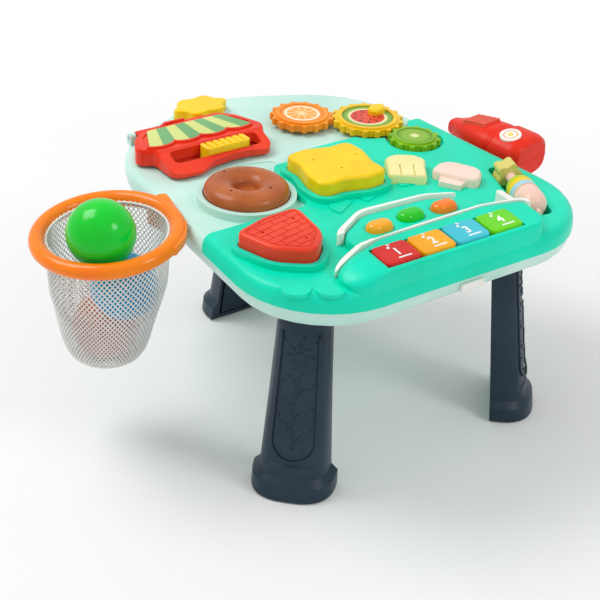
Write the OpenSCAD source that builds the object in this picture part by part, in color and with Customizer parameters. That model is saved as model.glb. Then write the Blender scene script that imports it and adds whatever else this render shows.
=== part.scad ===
// Activity walker in table mode: play top on three legs, ball hoop at the left,
// toy handset at the right. X runs along the keys, Y away from the player, Z up,
// the floor is z = 0. All sizes are millimetres.

/* [Table top] */
// half width of the table outline at the front corners
table_front = 171; // [160:1:180]
// half width of the table outline at the rear corners
table_rear = 142; // [134:1:150]
// height of the underside above the floor
under_z = 180; // [170:1:200]
// thickness of the mint base shell
shell_h = 24; // [22:1:28]
// thickness of the turquoise deck above the mint shell
deck_t = 6; // [5.5:0.1:7]
// wall of the moulded shells
wall = 3.2; // [2.4:0.1:3.6]

/* [Legs] */
// width of a leg at its foot collar
foot_w = 73; // [66:1:78]
// depth of a leg at its foot collar
foot_d = 38; // [34:1:42]
// width of a leg where it enters the table
leg_top_w = 44; // [38:1:46]
// outward lean of a leg from table to floor
leg_lean = 18; // [10:1:22]

/* [Hoop and balls] */
// radius of the hoop to the middle of its tube
hoop_r = 58; // [56:0.5:60]
// radius of the hoop tube
hoop_tube = 6.8; // [6:0.1:7.2]
// droop of the hoop away from the table, degrees
hoop_droop = 5.7; // [4:0.1:6]
// ball radius
ball_r = 28.5; // [27:0.5:28.5]

/* [Gears] */
// gear module, pitch diameter per tooth
gear_m = 3.87; // [3.7:0.01:3.9]
// thickness of a play gear
gear_t = 6; // [5:0.5:7]

/* [Shape blocks] */
// donut outer radius
donut_r = 37; // [34:0.5:38]
// height of a block above its collar
block_up = 12; // [9:0.5:14]
// clearance around a block in its well
block_gap = 0.8; // [0.4:0.1:1.2]

/* [Piano] */
// width of one key
key_w = 34.4; // [32.6:0.1:34.6]
// depth of one key from back to front
key_d = 26; // [24:0.1:26.4]
// how far the keys stand above the key block
key_up = 2.4; // [1.6:0.2:3]

/* [Roller] */
// largest radius of the roller
roller_r = 12.4; // [11:0.1:12.6]
// radius of the roller pin
pin_r = 2; // [1.6:0.1:2.2]

/* [Handset] */
// length of the toy handset
phone_l = 97; // [90:1:98]
// width of its wide end
phone_w = 53; // [49:1:55]
// thickness of the handset
phone_t = 40; // [36:1:41]

/* [Hidden] */
$fn = 48;
gap = 0.3;
fit = 0.06;
tray_top = under_z + shell_h;
deck_top = tray_top + deck_t;
split_z = tray_top - 10.4;
roof_z = tray_top - wall;
plate_t = 3.5;
plate_z = under_z + 1;
// height at which the neck of a leg begins
neck_z = plate_z - 0.4;
// table outline corners: x, y, corner radius
edge = [[-table_front, -178, 80], [table_front, -178, 80], [table_rear, 156, 104],
        [0, 220, 120], [-table_rear, 156, 104]];
// leg foot centres and outward directions
legs = [[-112, -114, 135], [112, -114, 225], [0, 139, 0]];
donut_c = [-86, 11];
cookie_c = [-4, -5];
berry_c = [-113, -89];
// gear centres follow the mesh distances from the yellow one
big_n = 17;
mid_n = 15;
small_n = 12;
big_c = [96, 80];
mid_dir = 144;
small_dir = -76.5;
mid_c = big_c + gear_m * (big_n + mid_n) / 2 * [cos(mid_dir), sin(mid_dir)];
small_c = big_c + gear_m * (big_n + small_n) / 2 * [cos(small_dir), sin(small_dir)];
gear_z = tray_top + 4;
// piano
block_front = -177;
key_gap = 1.2;
key_pitch = key_w + key_gap;
keys_x = -5.9 - key_pitch * 2;
keys_w = 4 * key_pitch - key_gap;
key_y0 = -146.6 - key_d;
// height of the key block at the middle of its depth, and its slope
block_up_z = 15.2;
key_slope = 0.1;
panel_z = deck_top + 7;
fruit_c = [[-35, -107], [0, -104], [34, -106]];
pop_c = [57, -27];
mush_c = [91, -58];
cloud_c = [-27, 179.5];
shop_c = [-73, 101.5];
shop_z = tray_top + 2.5;
shop_t = 14.5;
hinge_y = 157.5;
hinge_z = tray_top + 6;
// roller slot
slot_c = [123.5, -102.5];
slot_a = -20.8;
slot_l = 94;
slot_w = 27;
roller_z = deck_top + 2;
trough_z = roller_z - roller_r - 1.3;
hoop_c = [-213.7, 23.4, tray_top - 4];
phone_c = [183.5, 1, under_z + 1 + phone_t / 2];
phone_a = 8;
// farthest points of the hoop, the handset and the table's front and rear
reach_left = hoop_c[0] - hoop_r * cos(hoop_droop) - hoop_tube;
reach_right = phone_c[0] + sin(phone_a) * phone_l * 0.4 + cos(phone_a) * phone_w / 2;
reach_front = -178;
reach_rear = 207.4;

function unit(v) = v / norm(v);
function xy(c) = [c[0], c[1]];
// arc of one rounded corner b between a and c, inset inwards by d
function corner_arc(a, b, c, r, n, d) =
  let (d1 = unit(a - b), d2 = unit(c - b), half = acos(d1 * d2) / 2,
       turn = sign(d2[0] * d1[1] - d2[1] * d1[0]),
       o = b + unit(d1 + d2) * r / sin(half),
       p = d1 * r / tan(half) + b - o, q = d2 * r / tan(half) + b - o,
       s = atan2(p[1], p[0]), e0 = atan2(q[1], q[0]),
       e = e0 < s - 180 ? e0 + 360 : e0 > s + 180 ? e0 - 360 : e0)
  [for (k = [0:n]) o + (r - turn * d) * [cos(s + (e - s) * k / n), sin(s + (e - s) * k / n)]];
// outline through rounded corners, given counter-clockwise
function rounded(c, n = 6, d = 0) = let (m = len(c))
  [for (i = [0:m - 1]) each corner_arc(xy(c[(i + m - 1) % m]), xy(c[i]),
      xy(c[(i + 1) % m]), c[i][2], n, d)];
function table_line(d, n = 9) = rounded(edge, n, d);
function rect(x0, y0, x1, y1, r) = [[x0, y0, r], [x1, y0, r], [x1, y1, r], [x0, y1, r]];
function lift(pts, z) = [for (p = pts) [p[0], p[1], z]];
// outline with lobes: mean radius, lobe depth, lobe count
function lobed(r, a, k, n, phase = 0) =
  [for (i = [0:n - 1]) let (t = 360 * i / n) (r + a * cos(k * t + phase)) * [cos(t), sin(t)]];

// skin over a stack of rings with equal point counts, bottom ring first
module loft(rings) {
  n = len(rings[0]);
  m = len(rings);
  polyhedron(points = [for (r = rings) each r], faces = concat(
    [[for (i = [0:n - 1]) i]], [[for (i = [n - 1:-1:0]) (m - 1) * n + i]],
    [for (j = [0:m - 2]) for (i = [0:n - 1]) let (a = j * n + i, b = j * n + (i + 1) % n)
      each [[a, a + n, b + n], [a, b + n, b]]]));
}
// everything is drawn about the middle of the table, then moved so that the origin
// lies under the middle of the whole toy
module placed() translate([-(reach_left + reach_right) / 2, -(reach_front + reach_rear) / 2, 0]) children();
module slab(pts, z0, z1) translate([0, 0, z0]) linear_extrude(z1 - z0) polygon(pts);
module at(p, z = 0, a = 0) translate([p[0], p[1], z]) rotate([0, 0, a]) children();
module tube(r0, r1, h) difference() {
  cylinder(r = r1, h = h);
  translate([0, 0, -1]) cylinder(r = r0, h = h + 2);
}

// outline of the deck cover where it borders the bare mint shell
deck_border = [[-230, -230, 1], [230, -230, 1], [230, 66, 1], [132, 62, 3], [62, 58, 8],
  [-8, 58, 6], [-17, 45.5, 6], [-36, 45.5, 10], [-46, 20, 20], [-50, -33, 12], [-230, -33, 1]];
module deck_area(g = 0) difference() {
  polygon(rounded(deck_border, 5, g));
  translate(donut_c) circle(r = donut_r + 6.4 + g, $fn = 72);
  translate(big_c) circle(r = gear_m * big_n / 2 + 5.4 + g, $fn = 72);
}
cookie_line = [[-34, -34, 9], [-12, -31, 16], [12, -36, 16], [34, -32, 9], [31, -12, 16],
  [36, 12, 16], [33, 34, 9], [12, 31, 16], [-12, 36, 16], [-34, 32, 9], [-31, 12, 16],
  [-36, -12, 16]];
berry_line = [[-37, 21, 8], [-26, -17, 30], [1, -37, 12], [25, -15, 34], [32, 34, 8], [-4, 32, 50]];
pop_line = [[-17, -21, 4], [17, -21, 4], [17, 2, 3], [19, 14, 9], [8, 22, 10],
  [-8, 22, 10], [-19, 14, 9], [-17, 2, 3]];
mush_line = [[-11, -22, 3], [10, -22, 3], [10, -12, 3], [22, -12, 6], [20, 14, 14],
  [-20, 14, 14], [-22, -12, 6], [-11, -12, 3]];
cap_line = [[-22, -12, 6], [22, -12, 6], [20, 14, 14], [-20, 14, 14]];
cloud_line = [for (t = [0:6:354]) let (r = 18 + 1.8 * cos(6 * t)) [1.44 * r * cos(t), r * sin(t)]];
function grow(pts, k) = [for (i = [0:len(pts) - 1]) let (n = len(pts),
  a = pts[(i + n - 1) % n], b = pts[(i + 1) % n], t = unit(b - a)) pts[i] + k * [t[1], -t[0]]];

leg_top_d = 24;
neck_w = leg_top_w - 2.6;
neck_d = leg_top_d - 1.6;
// plan of a leg: flat inner side on the X axis, bowed face towards +Y
function leg_plan(w, d, inset = 0, step = 0) = concat(
  [[-w / 2 + inset, 0]],
  [for (t = [-80:10:80]) let (s = sin(t), c = cos(t), k = abs(t) < 35 ? step : 0)
    [(w / 2 - inset) * sign(s) * pow(abs(s), 0.74), (d - inset - k) * pow(c, 0.74)]],
  [[w / 2 - inset, 0]]);
function rev(v) = [for (i = [len(v) - 1:-1:0]) v[i]];
function leg_w(z) = z < 15 ? foot_w - z * 0.06 : leg_top_w + (foot_w - 10 - leg_top_w) *
  pow(1 - min(z, neck_z) / neck_z, 1.25);
function leg_d(z) = z < 15 ? foot_d - z * 0.06
  : leg_top_d + (foot_d - 5 - leg_top_d) * (1 - min(z, neck_z) / neck_z);
function leg_y(z) = -leg_lean * min(z, neck_z) / neck_z;
function leg_ring(z, w, d, inset = 0, step = 0, dy = 0) =
  [for (p = rev(leg_plan(w, d, inset, step))) [p[0], p[1] + leg_y(z) + dy, z]];
module leg_blank(step = 1.3) {
  zs = [[1.2, 0], [13.5, 0], [15, 0], [19, 0], [30, 0], [31, 1], [90, 1], [150, 1],
        [151, 0], [neck_z - 1, 0]];
  loft(concat([for (q = zs) let (z = q[0], w = z == 15 ? foot_w - 4 : leg_w(z),
      d = z == 15 ? foot_d - 2 : leg_d(z)) leg_ring(z, w, d, 0, q[1] * step)],
    [for (z = [neck_z, trough_z - 2.4]) leg_ring(z, neck_w, neck_d)]));
}
module leg_core() {
  zs = [5, 60, 120, neck_z - 4];
  loft([for (z = zs) leg_ring(z, leg_w(max(z, 16)) - 0.4, leg_d(max(z, 16)) - 1.4, 2.8, 0, -0.01)]);
}
module leg_cover_plate() {
  pts = [for (z = [5.4, neck_z - 4.4]) for (q = [[-1, 0], [1, 0], [1, 1], [-1, 1]])
    [q[0] * (leg_w(max(z, 16)) / 2 - 5.9), leg_y(z) + 0.7 + q[1] * 1.4, z]];
  polyhedron(points = pts, faces = [[0, 1, 2, 3], [7, 6, 5, 4], [0, 4, 5, 1], [1, 5, 6, 2],
    [2, 6, 7, 3], [3, 7, 4, 0]]);
}
module leg_shell() difference() {
  leg_blank();
  difference() {
    leg_core();
    for (z = [46, 96, 146]) translate([-40, leg_y(z) + 2.9, z]) cube([80, 60, 2]);
  }
  hull() leg_mouth();
  for (s = [-1, 1]) translate([s * foot_w * 0.26, foot_d * 0.42, 0]) cylinder(r = 7.3, h = 3.2);
}
module leg_mouth() for (z = [4.9, neck_z - 3.9]) translate([0, leg_y(z) - 0.3, z])
  cube([leg_w(max(z, 16)) - 10.6, 6, 0.02], center = true);
module leg_at(i) at(legs[i], 0, legs[i][2]) children();

module base_tray() color([0.80, 0.94, 0.90]) placed() difference() {
  union() {
    difference() {
      loft([for (q = [[0, 6], [2, 4.2], [6, 2.6], [13.4, 1], [18, 0.8], [21, 2], [23, 4.6],
          [23.8, 7.2], [24, 10]]) lift(table_line(q[1]), under_z + q[0] * shell_h / 24)]);
      translate([0, 0, split_z]) linear_extrude(30) difference() {
        deck_area();
        polygon(table_line(4.2));
      }
      slab(table_line(9), under_z - 1, roof_z);
    }
    // sockets that take the leg tops
    for (i = [0:2]) leg_at(i) translate([0, -leg_lean, 0]) difference() {
      translate([0, -3, 0]) slab(rev(leg_plan(neck_w + 7, neck_d + 6)), plate_z + plate_t + gap, roof_z + 1);
      translate([0, -0.5, 0]) slab(rev(leg_plan(neck_w + 1, neck_d + 1)), under_z - 2, roof_z - 0.6);
    }
    // round well for the donut block
    at(donut_c, tray_top - 0.5) tube(donut_r + block_gap, donut_r + 6, 7.5, $fn = 72);
    // bosses for the screws of the underside plate
    for (p = screw_p) at(p, plate_z + plate_t + 0.1) tube(1.5 + fit, 4, roof_z - plate_z - plate_t + 0.4);
    // solid seat behind the hoop tube
    intersection() {
      slab(table_line(4), under_z + 3.5, tray_top - 0.6);
      translate(hoop_c) cylinder(r = hoop_r + hoop_tube + 4, h = 60, center = true, $fn = 96);
    }
    // bosses and posts of the two gears that sit on the shell
    for (c = [mid_c, big_c]) at(c, tray_top - 0.5) {
      cylinder(r = 12, h = gear_z - tray_top + 0.2);
      cylinder(r = 4, h = gear_z - tray_top + gear_t - 0.8);
    }
    // hinge ears of the shop door
    for (x = [-44, 38]) translate([shop_c[0] + x, hinge_y, hinge_z]) rotate([0, 90, 0])
      difference() {
        union() {
          cylinder(r = 3.6, h = 6);
          translate([0, -3.4, 0]) cube([hinge_z - tray_top + 0.5, 6.8, 6]);
        }
        translate([0, 0, -1]) cylinder(r = 1.5 + fit, h = 8, $fn = 24);
      }
    // collar of the cloud button
    at(cloud_c, tray_top - 2.4) linear_extrude(4.9) difference() {
      polygon(grow(cloud_line, 3.2));
      polygon(grow(cloud_line, 0.5));
    }
  }
  at(cloud_c, roof_z - 1) linear_extrude(30) polygon(grow(cloud_line, 0.5));
  // room for the flange of the cloud button at the bottom of its travel
  at(cloud_c, roof_z - 6) linear_extrude(5.8) polygon(grow(cloud_line, 2.6));
  // pilot bores of the screws that hold the handset cradle
  side_frame() for (s = [-1, 1]) cradle_screw_at(s) translate([0, 0, -3])
    cylinder(r = 1.5 + fit, h = 12, $fn = 24);
  // clearance for the trough of the roller
  at(slot_c, trough_z - 2, slot_a) linear_extrude(40)
    polygon(rounded(rect(-slot_w / 2 - 2.1, -slot_l / 2 - 2.1, slot_w / 2 + 2.1, slot_l / 2 + 2.1, 9)));
  // seat of the hoop tube, and the slot for its tongue
  translate([hoop_c[0], hoop_c[1], tray_top - 12]) cylinder(r = hoop_r + hoop_tube + 0.8, h = 30, $fn = 96);
  translate([-170, hoop_c[1] - 19.4, tray_top - 18.4]) cube([34, 38.8, 6.8]);
  // shallow crescent beside the shop and notch at the rear edge
  translate([-42, 62, tray_top - 1]) rotate([0, 0, -14]) linear_extrude(3)
    polygon(rounded([[-22, 0, 3], [0, -5, 12], [22, 0, 3], [16, 6, 4], [-16, 6, 4]], 4));
}

module deck_cover() color([0.0, 0.88, 0.74]) placed() difference() {
  union() {
    intersection() {
      difference() {
        loft([for (q = [[-10.2, 0], [-3, 0.2], [1, 1.2], [deck_t * 0.67, 3.6],
            [deck_t * 0.92, 6.6], [deck_t, 10.5]]) lift(table_line(q[1]), tray_top + q[0])]);
        slab(table_line(3.9), split_z - 4, tray_top + 0.15);
      }
      translate([0, 0, split_z - 2]) linear_extrude(60) deck_area(0.35);
    }
    // collars of the cookie and strawberry wells
    at(cookie_c, deck_top - 1, -4) linear_extrude(6) difference() {
      polygon(rounded(cookie_line, 4, -6.2));
      polygon(rounded(cookie_line, 4, -block_gap));
    }
    at(berry_c, deck_top - 4, 0) linear_extrude(9) difference() {
      polygon(rounded(berry_line, 6, -6));
      polygon(rounded(berry_line, 6, -block_gap));
    }
    // fruit panel step
    loft([for (q = [[-1, 0], [4.5, 0.2], [6.4, 1.2], [7, 3.2]])
      lift(rounded(panel_line, 5, q[1]), deck_top + q[0])]);
    // key block with its sloping top
    loft([for (q = [[-5, 0.6, 0, 0], [4, 0, 0.2, 0.6], [7, 0, 0.4, 3], [10, 0, 0.6, 8], [12.4, 0.1, 0.8, 14],
        [14, 0.5, 1, 20], [14.8, 1, 1, 24.5], [block_up_z, 1.9, 1, 28]])
      [for (p = rounded(block_line(q[3]), 6, q[1])) [p[0], p[1], block_top(p[1], q[0], q[2])]]]);
    // trough that holds the roller
    at(slot_c, 0, slot_a) slab(rounded(rect(-slot_w / 2 - 1.7, -slot_l / 2 - 1.7, slot_w / 2 + 1.7,
      slot_l / 2 + 1.7, 9)), trough_z - 1.6, deck_top - 0.5);
    // raised crescents behind the fruit panel and on the front apron
    for (c = [[-29, -51, 30], [5, -47, 20], [49, -45, -10]]) at(xy(c), deck_top - 0.6, c[2])
      intersection() {
        cylinder(r = 12.5, h = 1.8);
        translate([-20, -3, 0]) cube([40, 40, 4]);
      }
    difference() {
      for (c = [[-142, -142, 12], [-119, -155, 13]]) at(xy(c), deck_top - 2.4) cylinder(r = c[2], h = 3.2);
      slab(rounded(block_line(0), 6, -4), deck_top, deck_top + 10);
    }
  }
  // wells, pockets and windows
  at(cookie_c, tray_top + 2.6, -4) linear_extrude(30) polygon(rounded(cookie_line, 4, -block_gap));
  at(berry_c, tray_top + 2.6) linear_extrude(30) polygon(rounded(berry_line, 6, -block_gap));
  at(small_c, tray_top + 2.4) cylinder(r = gear_m * small_n / 2 + 3.6, h = 20, $fn = 72);
  button_hole(pop_c, -34) polygon(rounded(pop_line, 4, -0.5));
  button_hole(pop_c, -34, 3) polygon(rounded(pop_line, 4, -2.6));
  button_hole(mush_c, -60) polygon(rounded(mush_line, 4, -0.5));
  button_hole(mush_c, -60, 3) polygon(rounded(mush_line, 4, -2.6));
  // hollow of the fruit panel and its three holes
  slab(rounded(panel_line, 5, 3), tray_top - 1, panel_z - 2.6);
  for (c = fruit_c) at(c, tray_top - 1) linear_extrude(40) polygon(rounded(fruit_line, 5, -0.4));
  // hollow of the key block and the key window
  loft([for (q = [[-deck_t - 1, 0], [-1, 0], [block_up_z - 3, 1]])
    [for (p = rounded(block_line(22), 6, wall)) [p[0], p[1], block_top(p[1], q[0], q[1])]]]);
  translate([keys_x - 0.4, key_y0 - 0.4, tray_top]) cube([keys_w + 0.8, key_d + 0.8, 60]);
  // inside of the roller trough, and the bores for its pin
  at(slot_c, 0, slot_a) {
    slab(rounded(rect(-slot_w / 2, -slot_l / 2, slot_w / 2, slot_l / 2, 7.3)), trough_z, deck_top + 30);
    for (s = [-1, 1]) translate([0, s * (slot_l / 2 + 1.6), roller_z]) rotate([90, 0, 0])
      translate([0, 0, -2.6]) cylinder(r = pin_r + fit, h = 5.2, $fn = 32);
  }
}
module button_hole(c, a, h = 20) at(c, tray_top, a) linear_extrude(h) children();
fruit_line = rect(-12.4, -8.4, 12.4, 8.4, 8.2);
panel_line = [[-71, -135, 10], [64.5, -129, 8], [64.5, -97.5, 20], [32, -83.5, 38],
  [-34, -81, 30], [-71, -103, 22]];
// outline of the key block, its left end drawn in by d as it rises
function block_line(d) = [[-110 + d, block_front, 18 - d * 0.3], [88, block_front, 13],
  [88, -143, 8], [70, -138.5, 24], [50, -134.5, 20], [-60, -136.4, 40], [-110 + d, -145, 13 - d * 0.2]];
function block_top(y, z, k) = deck_top + z + k * key_slope * (y + 162);

// white bands behind the two steps of the piano, wide at the left and thin at the right
upper_band = [[-79, -135, 8], [66, -129, 8], [67, -95, 20], [32, -80, 40], [-34, -76, 32],
  [-79, -101, 28]];
lower_band = [[-114, -176, 8], [92, -176, 8], [92, -140, 8], [70, -135.6, 24], [50, -131.6, 20],
  [-60, -132.6, 40], [-114, -139.5, 24]];
module band(line, z0, h) for (q = [[0, h - 1.2, 0], [h - 1.4, h, 0.7]])
  slab(rounded(line, 6, q[2]), z0 + q[0], z0 + q[1]);
module trim_upper() color([0.96, 0.96, 0.94]) placed() difference() {
  intersection() {
    band(upper_band, deck_top + 0.1, 10);
    translate([-100, -106, deck_top - 1]) rotate([0, 0, 5]) cube([200, 60, 30]);
  }
  slab(rounded(panel_line, 6, -0.35), deck_top - 1, deck_top + 30);
  at(berry_c, deck_top - 2) linear_extrude(30) polygon(rounded(berry_line, 6, -6.3));
}
module trim_lower() color([0.96, 0.96, 0.94]) placed() {
  difference() {
    intersection() {
      band(lower_band, deck_top + 0.1, 18.2);
      translate([-130, -144, deck_top - 1]) rotate([0, 0, -1.2]) cube([222, 60, 30]);
    }
    // the band comes down with the rounded left end of the key block
    translate([-78, -200, deck_top + 18.3]) rotate([0, -23, 0]) translate([-80, 0, 0]) cube([80, 100, 40]);
    slab(rounded(block_line(0), 6, -0.35), deck_top - 1, deck_top + 30);
    slab(rounded(panel_line, 6, -0.35), deck_top - 1, deck_top + 30);
    at(berry_c, deck_top - 2) linear_extrude(30) polygon(rounded(berry_line, 6, -6.3));
  }
  // short stem that rises behind the last key
  translate([84, -133, deck_top + 0.1]) rotate([0, 0, -3]) linear_extrude(15)
    polygon(rounded(rect(-3.2, -4, 3.2, 18, 3.1), 4));
}

// play gear: rounded teeth on a dished body with a bore for its post
module play_gear(n, r_in, dish) {
  rp = gear_m * n / 2;
  difference() {
    union() {
      linear_extrude(gear_t) {
        circle(r = rp - gear_m * 0.5, $fn = 72);
        for (i = [0:n - 1]) rotate(i * 360 / n) translate([rp - gear_m * 0.35, 0])
          circle(r = gear_m * 0.66, $fn = 16);
      }
      cylinder(r1 = rp - gear_m * 0.8, r2 = rp - gear_m * 1.15, h = gear_t + 1.6, $fn = 72);
    }
    translate([0, 0, gear_t + 1.6 - dish]) cylinder(r = r_in, h = dish + 1, $fn = 72);
    translate([0, 0, -1]) cylinder(r = 4 + fit, h = gear_t + 0.4, $fn = 48);
  }
}
module orange_gear() color([1, 0.58, 0.05]) placed() at(mid_c, gear_z, mid_dir - 180 + 180 / mid_n)
  play_gear(mid_n, 20.3, 1.2);
module yellow_gear() color([0.98, 0.82, 0.04]) placed()
  at(big_c, gear_z, mid_dir) play_gear(big_n, 24.4, 1.7);
module kiwi_gear() color([0.62, 0.82, 0.10]) placed() at(small_c, gear_z - 0.9,
  small_dir - 180 + 180 / small_n + (small_dir - mid_dir) * big_n / small_n)
  play_gear(small_n, 16.4, 1.2);
module label_disc(r, t) cylinder(r = r, h = t, $fn = 72);
module orange_disc() color([1, 0.75, 0.35]) placed() at(mid_c, gear_z + gear_t + 0.45) label_disc(20, 0.7);
module melon_disc() color([0.9, 0.3, 0.25]) placed() at(big_c, gear_z + gear_t - 0.05) label_disc(24, 0.8);
module kiwi_disc() color([0.75, 0.87, 0.3]) placed()
  at(small_c, gear_z - 0.9 + gear_t + 0.45) label_disc(16, 0.7);
leaf_line = [[-9, -5, 4], [6, -7, 6], [12, 3, 4], [2, 8, 6], [-10, 5, 4]];
module leaf_knob() color([1, 0.85, 0.1]) placed() at(big_c + [13.4, 3], gear_z + gear_t + 0.8, 12)
  loft([for (q = [[0, 0.6], [4, 0], [5.6, 0.9], [6.3, 2.4]]) lift(rounded(leaf_line, 4, q[1]), q[0])]);

module donut_block() color([0.72, 0.40, 0.18]) placed() at(donut_c, tray_top + 0.02) difference() {
  rotate_extrude($fn = 96) polygon(concat([[0, 0], [donut_r - 1, 0], [donut_r, 1.2]],
    [for (t = [-6:12:174]) [23.5 + (donut_r - 23.5) * cos(t), 8.6 + (block_up - 2.4) * sin(t)]],
    [[9, 7.6], [0, 7.2]]));
  for (p = [[-7, 25], [25, 13], [-22, -9], [10, -21]]) at(p, 12) cylinder(r = 1.3, h = 20, $fn = 16);
}
module block_solid(line, n, h) loft([for (q = [[0, 0.6], [1, 0], [h - 3.2, 0], [h - 1.3, 0.7],
  [h - 0.3, 2.1], [h, 3.8]]) lift(rounded(line, n, q[1]), q[0])]);
block_z0 = tray_top + 2.62;
block_h = deck_top + 5 + block_up - block_z0;
module cookie_block() color([0.98, 0.84, 0.03]) placed() at(cookie_c, block_z0, -4) difference() {
  block_solid(cookie_line, 4, block_h);
  for (p = [[10, 30], [24, 6], [-16, 12], [-2, -12]]) at(p, block_h - 2) cylinder(r = 1.3, h = 20, $fn = 16);
}
module berry_block() color([0.93, 0.22, 0.12]) placed() at(berry_c, block_z0) difference() {
  block_solid(berry_line, 5, block_h);
  // engraved joints of the brick pattern inside a plain rim
  translate([0, 0, block_h - 0.8]) linear_extrude(2) {
    difference() {
      polygon(rounded(berry_line, 5, 5));
      polygon(rounded(berry_line, 5, 5.9));
    }
    intersection() {
      polygon(rounded(berry_line, 5, 5.2));
      rotate(12) union() {
        for (k = [-3:3]) translate([-50, k * 7.2]) square([100, 0.8]);
        for (k = [-4:3], j = [-2:2])
          translate([j * 17 + (k % 2 == 0 ? 0 : 8.5), k * 7.2]) square([0.8, 7.2]);
      }
    }
  }
  for (p = [[-19, 9], [16, 16], [6, -16]]) at(p, block_h - 2.4) cylinder(r = 1.5, h = 20, $fn = 16);
}

// one piano key: a cap with a sloping top that follows the key block
function key_top(y) = block_top(key_y0 + y, block_up_z + key_up, 1);
module piano_key(i) translate([keys_x + i * key_pitch, key_y0, 0]) {
  z0 = tray_top + 3.4;
  rs = [for (q = [[0, 0, 0], [1, -2.8, 0], [1, -0.9, 0.7], [1, 0, 2.4]])
    [for (p = rounded(rect(0, 0, key_w, key_d, 4.6), 5, q[2]))
      [p[0], p[1], q[0] == 0 ? z0 : key_top(p[1]) + q[1]]]];
  difference() {
    loft(rs);
    translate([2.2, 2.2, z0 - 1]) cube([key_w - 4.4, key_d - 4.4, 11.5]);
  }
  // rear ledge that stays under the rim of the window
  translate([6, key_d - 1.6, z0 + 10.8]) cube([key_w - 12, 3.2, 1.6]);
}
module key_red() color([0.90, 0.18, 0.13]) placed() piano_key(0);
module key_amber() color([0.97, 0.69, 0.05]) placed() piano_key(1);
module key_blue() color([0.25, 0.78, 0.85]) placed() piano_key(2);
module key_green() color([0.45, 0.82, 0.05]) placed() piano_key(3);

module fruit_button(i, r) at(fruit_c[i], 0) {
  z0 = panel_z - 5.4;
  difference() {
    union() {
      slab(rounded(rect(-14, -10, 14, 10, 9.4), 5), z0, z0 + 2.2);
      loft([for (q = [[0, 0], [5.8, 0], [9, 0.9], [10.9, 2.7], [11.9, 5.2]])
        lift(rounded(fruit_line, 5, q[1]), z0 + q[0])]);
    }
    translate([0, 0, z0 - 1]) cylinder(r = 5, h = 8.6);
  }
}
module fruit_yellow() color([1, 0.72, 0.05]) placed() fruit_button(0, 0);
module fruit_green() color([0.10, 0.80, 0.15]) placed() fruit_button(1, 0);
module fruit_orange() color([1, 0.55, 0.05]) placed() fruit_button(2, 0);
module cap_button(line, h) {
  slab(rounded(line, 4, -1.9), 1.8, 2.7);
  loft([for (q = [[2.2, 0], [h - 3.4, 0], [h - 1.4, 0.7], [h - 0.3, 2], [h, 3.3]])
    lift(rounded(line, 4, q[1] * 0.8), q[0])]);
}
module popsicle_button() color([0.97, 0.93, 0.65]) placed() at(pop_c, tray_top, -34) difference() {
  cap_button(pop_line, 15);
  for (x = [-6, 6]) translate([x - 0.7, -30, 13.4]) cube([1.4, 30, 4]);
}
module mushroom_button() color([0.98, 0.87, 0.80]) placed() at(mush_c, tray_top, -60) {
  slab(rounded(mush_line, 4, -1.9), 1.8, 2.7);
  slab(rounded(mush_line, 4), 2.5, 10.5);
  loft([for (q = [[10.3, 0], [11.6, 0], [13.6, 0.7], [14.7, 2], [15, 3.3]])
    lift(rounded(cap_line, 4, q[1] * 0.8), q[0])]);
}
module cloud_button() color([1, 0.86, 0.15]) placed() at(cloud_c) {
  slab(grow(cloud_line, 1.8), roof_z - 2.2, roof_z - 0.4);
  loft([for (q = [[-2, 0], [12.2, 0], [14.4, 0.7], [15.4, 2.2]])
    lift(grow(cloud_line, -q[1]), roof_z + q[0])]);
}

// shop: hinged frame with an awning, a sliding block in its window
frame_line = [[-50, -33, 10], [-22, -35, 12], [-6, -27.5, 14], [14, -24.5, 14], [34, -25, 10],
  [58, -31, 10], [59, -9, 10], [68, 6, 9], [57, 34, 16], [43, 47, 6], [-41, 43, 6], [-53, 30, 16],
  [-65, 8, 8], [-50, 0, 6]];
window_box = rect(-40, -20.5, 51, -5.5, 5);
front_bar = 6.4;
function roof_line(d = 0) = concat([[d - 35, 38 - d], [d - 45, 30], [d - 52.2, 15]],
  [for (k = [0:3], t = [190:20:350]) [27.5 * k - 38.5 + (13.75 - d) * cos(t), 10 + d + 6.5 * sin(t)]],
  [[57.7 - d, 15], [51 - d, 30], [40 - d, 38 - d]]);
module shop_frame() color([0.92, 0.24, 0.12]) placed() at(shop_c, shop_z) difference() {
  union() {
    for (q = [[0, 0.7, 0.7], [0.6, shop_t - 2.6, 0], [shop_t - 3, shop_t - 1.6, 0.4],
        [shop_t - 2, shop_t - 0.8, 1.1], [shop_t - 1.2, shop_t - 0.3, 1.9], [shop_t - 0.8, shop_t, 2.9]])
      slab(rounded(frame_line, 5, q[2]), q[0], q[1]);
    // knuckles on the hinge pin
    for (x = [-37, -2, 31]) translate([x, hinge_y - shop_c[1], hinge_z - shop_z]) rotate([0, 90, 0])
      difference() {
        union() {
          cylinder(r = 3.4, h = 6.4);
          translate([-3, -17, 0]) cube([5.6, 17, 6.4]);
        }
        translate([0, 0, -1]) cylinder(r = 1.5 + fit, h = 9, $fn = 24);
      }
  }
  // slope from the awning down to the front bar
  translate([-90, -26, front_bar]) rotate([front_tilt, 0, 0]) translate([0, -40, 0]) cube([200, 64, 30]);
  // open window with a track for the slider, and the shallow seat of the awning
  slab(rounded(window_box, 4), -1, 40);
  translate([-43, -22.6, track_z]) cube([97, 19.2, track_h]);
  slab(roof_line(), shop_t - 1.2, 40);
  // hollow back of the moulding
  slab(rounded(rect(-43, 0, 51, 34, 5), 4), -1, shop_t - 4);
}
front_tilt = 19;
track_z = 1.6;
track_h = 2.3;
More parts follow.
